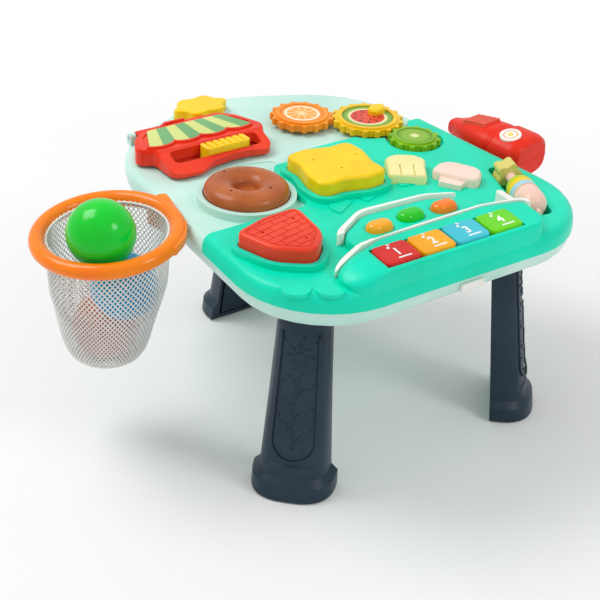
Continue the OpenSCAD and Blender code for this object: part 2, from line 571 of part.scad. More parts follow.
// awning as a plate with eight fan-shaped stripes
module roof_stripe(k) {
  a = k / 4 - 0.996;
  b = k / 4 - 0.748;
  translate([2.75, 0]) polygon([[a * 59, -4], [b * 59, -4], [b * 36, 44], [a * 36, 44]]);
}
module awning(part) at(shop_c, shop_z + shop_t - 1.15) linear_extrude(2.4) intersection() {
  polygon(roof_line(0.35));
  for (k = [part:2:7]) roof_stripe(k);
}
module awning_light() color([0.85, 0.90, 0.55]) placed() awning(0);
module awning_green() color([0.50, 0.71, 0.45]) placed() awning(1);
slider_top = 14.4;
module shop_slider() color([1, 0.84, 0.10]) placed() at(shop_c, shop_z) difference() {
  union() {
    slab(rounded(rect(-8, -20, 38, -6, 3), 3), 1.2, slider_top);
    translate([-6, -22.2, track_z + 0.3]) cube([42, 18.4, track_h - 0.6]);
  }
  for (k = [0:5]) translate([-3.7 + k * 6.9, -50, slider_top - 1.2]) cube([2.4, 60, 3]);
}
module hinge_pin() color([0.75, 0.76, 0.78]) placed() translate([shop_c[0] - 44.6, hinge_y, hinge_z])
  rotate([0, 90, 0]) cylinder(r = 1.5, h = 89.8, $fn = 24);
module window_print() color([0.72, 0.82, 0.75]) placed() at(shop_c, tray_top + 0.05)
  slab(rounded(rect(-38, -19.4, 49, -6.6, 4), 4), 0, 0.6);

module hoop_ring() color([1, 0.55, 0.05]) placed() {
  translate(hoop_c) rotate([0, -hoop_droop, 0]) rotate_extrude($fn = 96)
    translate([hoop_r, 0]) circle(r = hoop_tube, $fn = 28);
  // lug below the tube and the tongue that plugs into the table
  translate([hoop_c[0], hoop_c[1], tray_top - 17.8]) difference() {
    intersection() {
      translate([hoop_r - 8, -22, 0]) cube([7, 44, 19]);
      cylinder(r = hoop_r + hoop_tube - 0.6, h = 30, $fn = 96);
    }
    cylinder(r = hoop_r - hoop_tube + 1.4, h = 60, center = true, $fn = 96);
  }
  translate([hoop_c[0] + hoop_r - 4, hoop_c[1] - 19, tray_top - 17.8]) cube([18, 38, 5.6]);
}
net_top = tray_top + 2;
// profile of the bag below the hoop plane: radius as a share of the hoop, depth
net_line = [for (q = [[0.873, 0], [0.873, -12], [0.872, -29], [0.868, -44], [0.854, -58], [0.814, -74],
  [0.758, -89], [0.688, -102], [0.608, -111.6], [0.53, -118], [0.425, -123], [0.293, -126.6]])
  [q[0] * hoop_r, q[1]]];
net_low = -128.6;
net_wall = 1.2;
module net_bag() color([0.93, 0.93, 0.90, 0.6]) placed() translate([hoop_c[0], hoop_c[1], net_top])
  difference() {
    rotate_extrude($fn = 72) polygon(concat(net_line, [[0, net_low], [0, net_low + net_wall],
      [0.293 * hoop_r, -125.5]], rev([for (p = net_line) if (p[0] > 0.3 * hoop_r)
        [p[0] - net_wall, p[1] + (p[1] < -90 ? 0.7 : 0)]])));
    translate([0, 0, -5.4]) rotate([0, -hoop_droop, 0]) translate([-80, -80, 0]) cube([160, 160, 40]);
  }
// balls stacked in the bag: each leans on the net, the hoop or the ball below it
coral_lean = (hoop_r * 0.675 - net_wall - ball_r - 1.9) * [cos(88.5), sin(88.5)];
blue_lean = (hoop_r * 0.866 - net_wall - ball_r - 0.35) * [cos(-78.4), sin(-78.4)];
green_lean = (hoop_r - sqrt(pow(ball_r + hoop_tube + 0.8, 2) - 161)) * [cos(-131.1), sin(-131.1)];
function stacked(a, b) = sqrt(pow(2 * ball_r + 0.4, 2) - pow(norm(a - b), 2));
coral_z = net_top + net_low + ball_r + 2.8;
blue_z = coral_z + stacked(blue_lean, coral_lean);
green_z = blue_z + stacked(green_lean, blue_lean);
ball_p = [concat(green_lean, green_z), concat(blue_lean, blue_z), concat(coral_lean, coral_z)];
module ball(i) translate([hoop_c[0] + ball_p[i][0], hoop_c[1] + ball_p[i][1], ball_p[i][2] + under_z - 180])
  sphere(r = ball_r, $fn = 64);
module ball_green() color([0.10, 0.80, 0.20]) placed() ball(0);
module ball_blue() color([0.10, 0.70, 0.90]) placed() ball(1);
module ball_coral() color([0.93, 0.48, 0.38]) placed() ball(2);

// handset: bottle outline, tapering to its neck, with a collar in the middle
function phone_share(u) = let (t = u / phone_l) t < 0.06 ? 0.3 + 0.4 * t
  : t < 0.6 ? 0.32 + 0.6 * pow(sin(90 * (t - 0.06) / 0.54), 0.8)
  : t < 0.64 ? 0.92 : t < 0.68 ? 0.92 + 2 * (t - 0.64) : t < 0.9 ? 1 : 1 - 14 * pow(t - 0.9, 2);
function phone_ring(u, k = 1, n = 26) = let (w = phone_w / 2 * phone_share(u) * k,
    h = phone_t / 2 * (0.1 + 0.9 * phone_share(u)) * k)
  [for (i = [0:n - 1]) let (t = 360 * i / n, c = cos(t), s = sin(t))
    [w * sign(c) * pow(abs(c), 0.72), u - phone_l / 2, h * sign(s) * pow(abs(s), 0.72)]];
// label of raised ribs on the narrow half, and the round badge on the wide half
rib_n = 7;
rib_run = phone_l * 0.28;
rib_w = phone_w * 0.45;
rib_tilt = 10.5;
badge_r = phone_w * 0.19;
module phone_at() at(phone_c, phone_c[2], 180 + phone_a) children();
module rib_frame() translate([-rib_w / 2, -phone_l * 0.15, phone_t * 0.405]) rotate([rib_tilt, 0, 0])
  translate([0, -rib_run / 2, 0]) children();
module badge_frame() translate([phone_w * 0.18, phone_l * 0.295, phone_t * 0.488])
  rotate([0, 12, 0]) children();
module phone_body() color([0.92, 0.23, 0.12]) placed() phone_at() difference() {
  loft([for (q = [[0, 0.86], [0.014, 0.98], [0.07, 1], [0.12, 1], [0.18, 1], [0.26, 1], [0.35, 1], [0.45, 1],
      [0.54, 1], [0.595, 1], [0.62, 0.94], [0.645, 0.94], [0.68, 1], [0.76, 1], [0.84, 1], [0.9, 1],
      [0.965, 0.97], [1, 0.86]]) rev(phone_ring(q[0] * phone_l, q[1]))]);
  badge_frame() translate([0, 0, -1.2]) cylinder(r = badge_r + 0.2, h = 5, $fn = 48);
  rib_frame() translate([-0.3, -0.3, -3.1]) cube([rib_w + 0.6, rib_run + 0.6, 12]);
}
module phone_badge() color([0.96, 0.96, 0.92]) placed() phone_at() badge_frame()
  translate([0, 0, -1.15]) cylinder(r = badge_r, h = 1.9, $fn = 48);
module phone_ribs() color([0.98, 0.80, 0.74]) placed() phone_at() rib_frame() {
  translate([0, 0, -3]) cube([rib_w, rib_run, 2.4]);
  for (k = [0:rib_n - 1]) translate([0.6, (k + 0.2) * rib_run / rib_n, -1])
    cube([rib_w - 1.2, rib_run / rib_n * 0.62, 2.6]);
}
// frame on the right edge of the table where the cradle is screwed on
cradle_y = -6;
edge_x = table_front + (table_rear - table_front) * (cradle_y - edge[1][1]) / (edge[2][1] - edge[1][1]);
edge_tilt = atan((table_front - table_rear) / (edge[2][1] - edge[1][1]));
module side_frame() at([edge_x, cradle_y], under_z, edge_tilt) children();
// head of a cradle screw in its counterbore, shank towards the table
module cradle_screw_at(s) translate([2.5, s * 11, 9]) rotate([0, -90, 0]) children();
module phone_cradle() color([0.0, 0.80, 0.67]) placed() {
  side_frame() difference() {
    translate([-0.8, -17, -4]) cube([3.3, 34, split_z - under_z + 3.6]);
    for (s = [-1, 1]) cradle_screw_at(s) {
      translate([0, 0, -1]) cylinder(r = 3.2, h = 2.7, $fn = 24);
      cylinder(r = 1.7, h = 12, $fn = 24);
    }
  }
  // shelf under the handset with an upturned outer rim
  intersection() {
    at(phone_c, under_z - 4, 180 + phone_a) {
      translate([-phone_w / 2 - 3, -8, 0]) cube([phone_w + 16, 28, 4.9]);
      translate([-phone_w / 2 - 3, -8, 0]) cube([2.5, 28, 13]);
    }
    side_frame() translate([1, -60, -20]) cube([90, 120, 60]);
  }
}

module leg_front_left() color([0.13, 0.20, 0.26]) placed() leg_at(0) leg_shell();
module leg_front_right() color([0.13, 0.20, 0.26]) placed() leg_at(1) leg_shell();
module leg_back() color([0.13, 0.20, 0.26]) placed() leg_at(2) leg_shell();
module leg_inner_covers() color([0.10, 0.16, 0.21]) placed() for (i = [0:2]) leg_at(i) leg_cover_plate();
module foot_pads() color([0.25, 0.27, 0.29]) placed() for (i = [0:2]) leg_at(i) for (s = [-1, 1])
  translate([s * foot_w * 0.26, foot_d * 0.42, 0]) cylinder(r = 7, h = 3);

speaker_c = [60, 60];
door_c = [-30, 30];
module underside_plate() color([0.82, 0.92, 0.88]) placed() difference() {
  slab(table_line(9.35), plate_z, plate_z + plate_t);
  for (i = [0:2]) leg_at(i) translate([0, -leg_lean - 0.8, 0])
    slab(rev(leg_plan(neck_w + 1.6, neck_d + 1.6)), plate_z - 1, plate_z + plate_t + 1);
  at(door_c, plate_z - 1) linear_extrude(10) polygon(rounded(rect(-36, -28, 36, 28, 4), 4));
  for (i = [-3:3], j = [-3:3]) if (i * i + j * j < 11) at(speaker_c + [i * 5, j * 5], plate_z - 1)
    cylinder(r = 1.3, h = 10, $fn = 16);
  for (p = screw_p) at(p, plate_z - 1) cylinder(r = 1.7, h = 10, $fn = 24);
  at([10, -60], plate_z - 1) translate([-9, -4, 0]) cube([18, 8, 10]);
}
screw_p = [for (a = [20, 60, 120, 160, 200, 250, 290, 340]) [104 * cos(a), 12 + 122 * sin(a)]];
module battery_door() color([0.78, 0.89, 0.85]) placed() at(door_c, plate_z) difference() {
  linear_extrude(2.4) polygon(rounded(rect(-35.6, -27.6, 35.6, 27.6, 3.6), 4));
  for (k = [0:4]) translate([-12, -22 + k * 3, -1]) cube([24, 1.2, 1.6]);
  translate([0, 22, -1]) cylinder(r = 1.7, h = 8, $fn = 24);
}
module batteries() color([0.35, 0.45, 0.55]) placed() for (k = [-1:1])
  at(door_c + [0, k * 15.4], plate_z + 11)
  rotate([0, 90, 0]) translate([0, 0, -25]) {
    cylinder(r = 7.1, h = 49, $fn = 40);
    cylinder(r = 2.7, h = 50.2, $fn = 24);
  }
module speaker() color([0.22, 0.22, 0.24]) placed() at(speaker_c, plate_z + plate_t + 0.2) {
  difference() {
    cylinder(r = 22, h = 5);
    translate([0, 0, -1]) cylinder(r1 = 18, r2 = 10, h = 5);
  }
  translate([0, 0, 5]) cylinder(r = 12, h = 5);
}
module circuit_board() color([0.10, 0.45, 0.25]) placed()
  translate([-44, -120, tray_top + 0.35]) difference() {
  cube([88, 27, 1.6]);
  for (p = [[5, 5], [83, 5], [5, 22], [83, 22]]) at(p, -1) cylinder(r = 1.6, h = 4, $fn = 20);
}
module lights() color([0.95, 0.95, 0.98]) placed() for (c = fruit_c) at(c, tray_top + 1.97) {
  cylinder(r = 2.9, h = 0.8, $fn = 24);
  cylinder(r = 2.5, h = 1.9, $fn = 24);
  translate([0, 0, 1.95]) sphere(r = 1.9, $fn = 24);
}
module screw(l) {
  cylinder(r = 3, h = 1.6, $fn = 24);
  cylinder(r = 1.5, h = l, $fn = 24);
}
module screws() color([0.7, 0.7, 0.72]) placed() {
  for (p = screw_p) at(p, plate_z - 1.7) screw(9);
  at(door_c + [0, 22], plate_z - 1.7) screw(5);
  side_frame() for (s = [-1, 1]) cradle_screw_at(s) screw(8);
}
module power_switch() color([0.92, 0.25, 0.15]) placed() at([10, -60], plate_z - 1.6) {
  translate([-4, -3.6, 0]) cube([8, 7.2, 6]);
  translate([-8, -6, 5.4]) cube([16, 12, 1.6]);
}

// roller parts, each turned about one line that lies in the slot
module roller_at(w) at(slot_c, roller_z, slot_a) translate([0, w, 0]) rotate([-90, 0, 0]) children();
star_w = slot_l / 2 - 24;
module roller_star() color([0.95, 0.90, 0.50]) placed() roller_at(star_w) difference() {
  linear_extrude(15) polygon(lobed(10.6, 1.7, 5, 60));
  translate([0, 0, -1]) cylinder(r = 3.3, h = 20, $fn = 32);
}
module roller_body() color([0.99, 0.84, 0.78]) placed() roller_at(0) {
  rotate_extrude($fn = 64) polygon(concat([[0, -42]],
    [for (t = [10:10:90]) [roller_r * pow(sin(t), 0.8), -42 + 14 * (1 - cos(t))]],
    [[roller_r, -16], [9.2, -15.9], [9.2, 0], [4.6, 0.1], [4.6, star_w - 0.1], [3.2, star_w],
      [3.2, star_w + 17], [0, star_w + 17]]));
  translate([0, 0, -slot_l / 2 - 1.2]) cylinder(r = pin_r, h = slot_l + 2.4, $fn = 32);
}
module roller_ring(w0, w1, r1, r2) roller_at(w0) difference() {
  cylinder(r1 = r1, r2 = r2, h = w1 - w0, $fn = 64);
  translate([0, 0, -1]) cylinder(r = 9.3, h = 60, $fn = 64);
}
module roller_blue_band() color([0.60, 0.82, 0.90]) placed() roller_ring(-15.8, -8.6, roller_r, roller_r);
module roller_yellow_band() color([1, 0.83, 0.10]) placed() roller_ring(-8.5, -2.6, roller_r, roller_r);
module roller_lime_band() color([0.70, 0.85, 0.15]) placed() roller_at(-2.5) difference() {
  rotate_extrude($fn = 64) polygon([[4.8, 2.7], [4.8, 9], [8, 9], [10.6, 7], [12, 4], [roller_r, 0],
    [9.4, 0], [9.4, 2.7]]);
}

base_tray();
deck_cover();
trim_upper();
trim_lower();
orange_gear();
orange_disc();
yellow_gear();
melon_disc();
leaf_knob();
kiwi_gear();
kiwi_disc();
donut_block();
cookie_block();
berry_block();
key_red();
key_amber();
key_blue();
key_green();
fruit_yellow();
fruit_green();
fruit_orange();
popsicle_button();
mushroom_button();
cloud_button();
shop_frame();
awning_light();
awning_green();
shop_slider();
hinge_pin();
window_print();
hoop_ring();
net_bag();
ball_green();
ball_blue();
ball_coral();
phone_body();
phone_badge();
phone_ribs();
phone_cradle();
leg_front_left();
leg_front_right();
leg_back();
leg_inner_covers();
foot_pads();
underside_plate();
battery_door();
batteries();
speaker();
circuit_board();
lights();
screws();
power_switch();
roller_star();
roller_body();
roller_lime_band();
roller_yellow_band();
roller_blue_band();
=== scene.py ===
# %% [markdown]
# # Activity walker in table mode
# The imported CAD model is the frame: every moulded part of the toy already has its place
# and its joint. This lesson dresses it. It sets the camera and the light, builds the
# plastics from shared shader groups, and adds what a CAD solid shouldn't carry: the
# strands of the net, the relief on the legs, the marks on the keys and small trims.

# %% Open the frame
import math
import bpy
import bmesh
from mathutils import Matrix, Vector


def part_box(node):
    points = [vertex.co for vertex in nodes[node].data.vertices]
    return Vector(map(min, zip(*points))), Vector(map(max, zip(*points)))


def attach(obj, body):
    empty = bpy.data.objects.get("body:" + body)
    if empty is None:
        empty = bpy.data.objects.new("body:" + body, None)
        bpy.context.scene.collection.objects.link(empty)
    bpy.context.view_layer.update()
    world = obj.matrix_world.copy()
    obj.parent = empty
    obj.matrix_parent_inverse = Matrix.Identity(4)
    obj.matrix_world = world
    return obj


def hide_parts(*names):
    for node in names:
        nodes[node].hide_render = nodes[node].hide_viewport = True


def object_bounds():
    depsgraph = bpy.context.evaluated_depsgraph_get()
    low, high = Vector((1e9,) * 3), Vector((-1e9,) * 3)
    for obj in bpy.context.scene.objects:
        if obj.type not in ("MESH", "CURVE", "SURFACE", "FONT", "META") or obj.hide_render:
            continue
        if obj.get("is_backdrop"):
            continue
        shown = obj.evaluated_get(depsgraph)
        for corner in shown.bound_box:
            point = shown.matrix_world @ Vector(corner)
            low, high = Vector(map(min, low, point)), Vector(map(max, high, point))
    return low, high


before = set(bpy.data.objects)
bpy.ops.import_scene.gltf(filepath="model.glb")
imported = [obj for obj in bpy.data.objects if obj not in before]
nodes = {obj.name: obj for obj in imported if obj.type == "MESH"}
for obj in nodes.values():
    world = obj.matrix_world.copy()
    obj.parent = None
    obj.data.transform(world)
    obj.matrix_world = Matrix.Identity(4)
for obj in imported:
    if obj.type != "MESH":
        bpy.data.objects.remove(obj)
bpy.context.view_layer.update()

# %% [markdown]
# ## Camera
# The photograph was taken from the left front corner, a little above the table. A camera
# can be placed by eye, but this one's place and axes were solved from corners that can be
# named in both the photograph and the model, because only then do the two outlines meet.
# A small roll comes with a hand-held camera, so the rotation is written as three angles
# and turned into one matrix.

# %% Camera
HEADING, DIP, ROLL = (math.radians(a) for a in (36.773, 30.573, 3.066))
FOCAL_PIXELS, PHOTO_PIXELS = 1537.293, 600
CAMERA_PLACE = (-0.715694, -0.972346, 0.799746)
scene = bpy.context.scene
lens = bpy.data.cameras.new("photo_camera")
lens.sensor_width = 36
lens.lens = FOCAL_PIXELS / PHOTO_PIXELS * 36
camera = bpy.data.objects.new("photo_camera", lens)
scene.collection.objects.link(camera)
aim = (Matrix.Rotation(-HEADING, 4, "Z") @ Matrix.Rotation(math.pi / 2 - DIP, 4, "X")
       @ Matrix.Rotation(ROLL, 4, "Z"))
camera.matrix_world = Matrix.Translation(CAMERA_PLACE) @ aim
scene.camera = camera
scene.view_settings.view_transform = "Standard"
print("camera looks along", [round(v, 3) for v in aim @ Vector((0, 0, -1))])

# %% [markdown]
# ## Measures
# The part's own drawing is in millimetres about the middle of the table. Blender works
# in metres about a point on the floor under the middle of the whole toy. One helper
# turns a drawing point into a place in the frame, so every later number can be compared
# with the part's source. Another gives a point on a circle, for all that is round.

# %% Drawing points to places
TABLE_MIDDLE = (31.536, -14.7)


def place(x, y, z):
    return Vector(((x + TABLE_MIDDLE[0]) / 1000, (y + TABLE_MIDDLE[1]) / 1000, z / 1000))


def circle(degrees, radius=1.0):
    a = math.radians(degrees)
    return radius * math.cos(a), radius * math.sin(a)


print("table middle at", [round(v, 4) for v in place(0, 0, 0)])

# %% [markdown]
# ## Node helpers
# A shader or a geometry tree is a list of nodes and the wires between them. They can be
# drawn by hand, but a script can be read and changed. These helpers keep the later cells
# short: they fill a node's inputs, add a node, wire a small sum, read a piece's own
# coordinates, make noise, fade a value, and make a group with named inputs and outputs.

# %% Node helpers
def fill(tree, node, inputs):
    for key, value in inputs.items():
        if isinstance(value, bpy.types.NodeSocket):
            tree.links.new(value, node.inputs[key])
        else:
            node.inputs[key].default_value = value
    return node


def add(tree, kind, inputs=None, **settings):
    made = tree.nodes.new(kind)
    for key, value in settings.items():
        setattr(made, key, value)
    return fill(tree, made, inputs or {})


def calc(tree, operation, *terms):
    return add(tree, "ShaderNodeMath", dict(enumerate(terms)), operation=operation).outputs[0]


def object_point(tree):
    return add(tree, "ShaderNodeTexCoord").outputs["Object"]


def noise(tree, where, scale, detail, rough=0.5):
    return add(tree, "ShaderNodeTexNoise", {
        "Vector": where, "Scale": scale, "Detail": detail, "Roughness": rough}).outputs[0]


def fade(tree, value, start, end, first=0.0, last=1.0, **settings):
    return add(tree, "ShaderNodeMapRange", {
        "Value": value, "From Min": start, "From Max": end, "To Min": first, "To Max": last},
        **settings).outputs[0]


def new_group(name, kind, inputs, outputs):
    tree = bpy.data.node_groups.new(name, kind)
    for label, socket, start in inputs:
        item = tree.interface.new_socket(name=label, in_out="INPUT", socket_type=socket)
        if start is not None:
            item.default_value = start
    for label, socket in outputs:
        tree.interface.new_socket(name=label, in_out="OUTPUT", socket_type=socket)
    return tree, tree.nodes.new("NodeGroupInput"), tree.nodes.new("NodeGroupOutput")


print("helpers ready")

# %% [markdown]
# ## Moulded finish
# Injection-moulded ABS isn't one flat colour. Pigment drifts a little over the part,
# the tool leaves a very fine grain, and small hands polish some places more than others.
# A painted texture could show this on one piece only. One shader group makes all three
# from noise on the part's own coordinates, and every plastic below uses it with its own
# colours.

# %% Group for the moulded finish
COLOUR, VALUE, VECTOR = "NodeSocketColor", "NodeSocketFloat", "NodeSocketVector"
moulded, g_in, g_out = new_group("Moulded finish", "ShaderNodeTree", [
    ("Colour", COLOUR, (0.8, 0.8, 0.8, 1)), ("Deep colour", COLOUR, (0.7, 0.7, 0.7, 1)),
    ("Drift scale", VALUE, 18.0), ("Grain scale", VALUE, 1500.0), ("Roughness", VALUE, 0.3),
    ("Handling", VALUE, 0.1)], [("Colour", COLOUR), ("Roughness", VALUE), ("Height", VALUE)])
given, where = g_in.outputs, object_point(moulded)
drift = fade(moulded, noise(moulded, where, given["Drift scale"], 3.0), 0.35, 0.68)
mix = add(moulded, "ShaderNodeMix", {
    "Factor": drift, "A": given["Colour"], "B": given["Deep colour"]}, data_type="RGBA")
grain = noise(moulded, where, given["Grain scale"], 2.0)
rub = calc(moulded, "SUBTRACT", noise(moulded, where, 46.0, 6.0, 0.62), 0.5)
rubbed = calc(moulded, "MULTIPLY", rub, given["Handling"])
handled = calc(moulded, "ADD", given["Roughness"], rubbed)
fill(moulded, g_out, {"Colour": mix.outputs["Result"], "Roughness": handled, "Height": grain})
print("group", moulded.name, "with", len(moulded.nodes), "nodes")

# %% [markdown]
# ## Plastics
# A function places the group in a material and sets what stays the same all over the
# surface, such as the clear top coat and the light that soaks into the plastic, on the
# shader's own sockets.

# %% Function for a plastic
ABS_IOR, SHINE, COAT_ROUGHNESS = 1.5, 0.24, 0.08
SOAK_REACH, GRAIN_REACH = 0.004, 0.0003


def tint(red, green, blue):
    light = [c / 255 for c in (red, green, blue)]
    light = [c / 12.92 if c <= 0.04045 else ((c + 0.055) / 1.055) ** 2.4 for c in light]
    return (*light, 1.0)


def plastic(name, colour, deep, rough=0.3, coat=0.0, soak=0.0, handling=0.12, drift_scale=18.0,
            grain_scale=1500.0, grain_depth=0.12):
    finish = bpy.data.materials.new(name)
    finish.use_nodes = True
    tree = finish.node_tree
    made = add(tree, "ShaderNodeGroup", {
        "Colour": tint(*colour), "Deep colour": tint(*deep), "Drift scale": drift_scale,
        "Grain scale": grain_scale, "Roughness": rough, "Handling": handling}, node_tree=moulded)
    bump = add(tree, "ShaderNodeBump", {
        "Strength": grain_depth, "Distance": GRAIN_REACH, "Height": made.outputs["Height"]})
    fill(tree, tree.nodes["Principled BSDF"], {
        "Base Color": made.outputs["Colour"], "Roughness": made.outputs["Roughness"],
        "Normal": bump.outputs[0], "IOR": ABS_IOR, "Specular IOR Level": SHINE,
        "Coat Weight": coat, "Coat Roughness": COAT_ROUGHNESS,
        "Subsurface Weight": soak, "Subsurface Scale": SOAK_REACH})
    return finish


print("middle grey is", round(tint(128, 128, 128)[0], 3), "in linear light")

# %% [markdown]
# ## Shading of the CAD skins
# A CAD node arrives as loose triangles, so every facet would show. A small geometry tree
# joins the triangles at their corners and marks only real edges as sharp. It works as a
# modifier, which leaves the node's own mesh alone. Triangles that lie in one plane are
# then dissolved into one face, so that a weighted normal sees how large each flat face is
# and keeps it flat beside its rounded rim, with no dark slivers.

# %% Tree for soft shading
GEOMETRY, JOIN = "NodeSocketGeometry", 0.00002
skin, s_in, s_out = new_group("Soft skin", "GeometryNodeTree", [
    ("Geometry", GEOMETRY, None), ("Join distance", VALUE, JOIN), ("Sharp angle", VALUE, 0.6)],
    [("Geometry", GEOMETRY)])
plain = add(skin, "GeometryNodeRemoveAttribute",
            {"Geometry": s_in.outputs["Geometry"], "Name": "custom_normal"})
joined = add(skin, "GeometryNodeMergeByDistance",
             {"Geometry": plain.outputs[0], "Distance": s_in.outputs["Join distance"]})
angle = add(skin, "GeometryNodeInputMeshEdgeAngle").outputs["Unsigned Angle"]
is_sharp = add(skin, "FunctionNodeCompare", {"A": angle, "B": s_in.outputs["Sharp angle"]},
               data_type="FLOAT", operation="GREATER_THAN")
soft = add(skin, "GeometryNodeSetShadeSmooth",
           {"Geometry": joined.outputs[0], "Shade Smooth": True}, domain="FACE")
edges = add(skin, "GeometryNodeSetShadeSmooth", {
    "Geometry": soft.outputs[0], "Shade Smooth": False, "Selection": is_sharp.outputs[0]},
    domain="EDGE")
fill(skin, s_out, {0: edges.outputs[0]})
print("tree", skin.name, "with", len(skin.nodes), "nodes")

# %% Function that dresses CAD nodes
ONE_PLANE = 0.004  # radians between triangles that still count as one flat face


def soften(part):
    part.modifiers.new("Soft skin", "NODES").node_group = skin
    flat = part.modifiers.new("Whole faces", "DECIMATE")
    flat.decimate_type, flat.angle_limit, flat.delimit = "DISSOLVE", ONE_PLANE, {"SHARP"}
    part.modifiers.new("Even normals", "WEIGHTED_NORMAL").keep_sharp = True


def dress(finish, names):
    for name in names.split():
        part = nodes[name]
        part.data.materials.clear()
        part.data.materials.append(finish)
        soften(part)


print("nodes to dress:", len(nodes))

# %% [markdown]
# ## Colours of the pieces
# Every colour was read from the photograph's lit areas. A row names a finish, its colour
# and deep colour, its roughness and clear coat, the pieces that wear it, and what else is
# special. The play pieces are glossier than the table, because they come from polished
# tools. The lamp caps let light in, so they get a little soak.

# %% Finishes of the table, the hoop and the legs
finishes = {}


def dress_all(rows):
    for name, colour, deep, rough, coat, names, *special in rows:
        look = special[0] if special else {}
        finishes[name] = plastic(name, colour, deep, rough, coat, **look)
        dress(finishes[name], names)
    print("dressed:", sum(1 for n in nodes.values() if n.modifiers))


dress_all([
    ("Mint shell", (206, 241, 231), (190, 231, 219), 0.34, 0,
     "base_tray underside_plate battery_door", {"grain_depth": 0.2}),
    ("Turquoise deck", (0, 230, 192), (0, 218, 178), 0.3, 0, "deck_cover phone_cradle",
     {"grain_depth": 0.2}),
    ("White trim", (250, 249, 244), (241, 240, 233), 0.22, 0.1, "trim_upper trim_lower"),
    ("Navy legs", (40, 58, 72), (31, 48, 61), 0.36, 0, "leg_front_left leg_front_right leg_back",
     {"grain_depth": 0.35, "grain_scale": 1100.0}),
    ("Navy covers", (34, 50, 63), (27, 41, 52), 0.45, 0, "leg_inner_covers", {"grain_depth": 0.3}),
    ("Foot rubber", (70, 74, 78), (56, 60, 64), 0.7, 0, "foot_pads",
     {"grain_depth": 0.5, "grain_scale": 900.0}),
    ("Orange hoop", (255, 138, 0), (255, 122, 0), 0.2, 0.24, "hoop_ring", {"handling": 0.08})])

# %% Finishes of the gears, blocks, buttons and shop
dress_all([
    ("Orange gear", (252, 158, 36), (244, 138, 22), 0.3, 0.1, "orange_gear"),
    ("Amber gear", (250, 208, 30), (240, 186, 14), 0.3, 0.1, "yellow_gear"),
    ("Kiwi gear", (148, 200, 30), (118, 178, 20), 0.32, 0.1, "kiwi_gear"),
    ("Yellow moulding", (253, 218, 20), (246, 203, 8), 0.28, 0.14,
     "leaf_knob cloud_button shop_slider roller_yellow_band"),
    ("Baked brown", (190, 104, 52), (168, 84, 36), 0.3, 0.12, "donut_block", {"drift_scale": 40}),
    ("Cookie yellow", (252, 216, 6), (244, 202, 0), 0.3, 0.1, "cookie_block", {"drift_scale": 36}),
    ("Berry red", (244, 74, 40), (228, 50, 26), 0.3, 0.1, "berry_block"),
    ("Cream ice", (248, 240, 172), (242, 230, 152), 0.3, 0.1, "popsicle_button"),
    ("Pale blush", (252, 226, 210), (247, 214, 196), 0.28, 0.1, "mushroom_button"),
    ("Shop red", (246, 66, 32), (230, 44, 20), 0.26, 0.14, "shop_frame power_switch"),
    ("Awning light", (218, 228, 142), (208, 220, 126), 0.34, 0, "awning_light"),
    ("Awning green", (124, 182, 120), (108, 168, 106), 0.34, 0, "awning_green")])

# %% Finishes of the keys, lamps, handset and roller
LAMP_SOAK = {"soak": 0.08}
dress_all([
    ("Key red", (228, 38, 28), (208, 20, 16), 0.16, 0.3, "key_red"),
    ("Key amber", (250, 178, 8), (240, 158, 0), 0.16, 0.3, "key_amber"),
    ("Key blue", (66, 202, 220), (38, 184, 208), 0.16, 0.3, "key_blue"),
    ("Key green", (108, 220, 0), (84, 206, 0), 0.16, 0.3, "key_green"),
    ("Lamp yellow", (255, 184, 12), (252, 166, 0), 0.08, 0.5, "fruit_yellow", LAMP_SOAK),
    ("Lamp green", (26, 214, 24), (8, 196, 10), 0.08, 0.5, "fruit_green", LAMP_SOAK),
    ("Lamp orange", (255, 142, 8), (250, 122, 0), 0.08, 0.5, "fruit_orange", LAMP_SOAK),
    ("Handset red", (246, 50, 20), (230, 36, 12), 0.36, 0, "phone_body"),
    # the ribs are the handset's own red, lightened by a painted highlight
    ("Handset ribs", (244, 104, 82), (236, 84, 62), 0.4, 0, "phone_ribs"),
    ("Roller lime", (192, 214, 18), (172, 200, 6), 0.24, 0.1, "roller_lime_band"),
    ("Roller sky", (176, 218, 232), (154, 204, 222), 0.24, 0.1, "roller_blue_band"),
    ("Roller star", (232, 222, 128), (218, 206, 104), 0.26, 0.14, "roller_star"),
    ("Roller peach", (250, 214, 198), (244, 198, 180), 0.26, 0.14, "roller_body")])

# %% Finishes of the inner and lower pieces
dress_all([
    ("Speaker frame", (54, 55, 58), (40, 41, 44), 0.5, 0, "speaker"),
    ("Circuit board", (26, 112, 62), (18, 92, 50), 0.35, 0, "circuit_board"),
    ("Lamp dome", (246, 246, 240), (232, 234, 228), 0.1, 0.7, "lights"),
    ("Battery sleeve", (92, 112, 134), (74, 92, 114), 0.3, 0.14, "batteries"),
    ("Plated steel", (196, 198, 202), (176, 178, 184), 0.3, 0, "hinge_pin screws",
     {"grain_depth": 0.1})])
steel = finishes["Plated steel"].node_tree
fill(steel, steel.nodes["Principled BSDF"], {"Metallic": 1.0})
print("finishes:", ", ".join(finishes))

# %% [markdown]
# ## Balls
# A ball pit ball is blown in a two-part mould. The mould line round its middle stays
# visible, and the thin wall lets light through. A real groove would need many faces, so
# the line is a mask on the height above the ball's centre, which feeds the bump.

# %% Function for a ball's finish
LINE_HALF, LINE_EDGE, LINE_DEPTH = 0.0002, 0.0009, 1.6


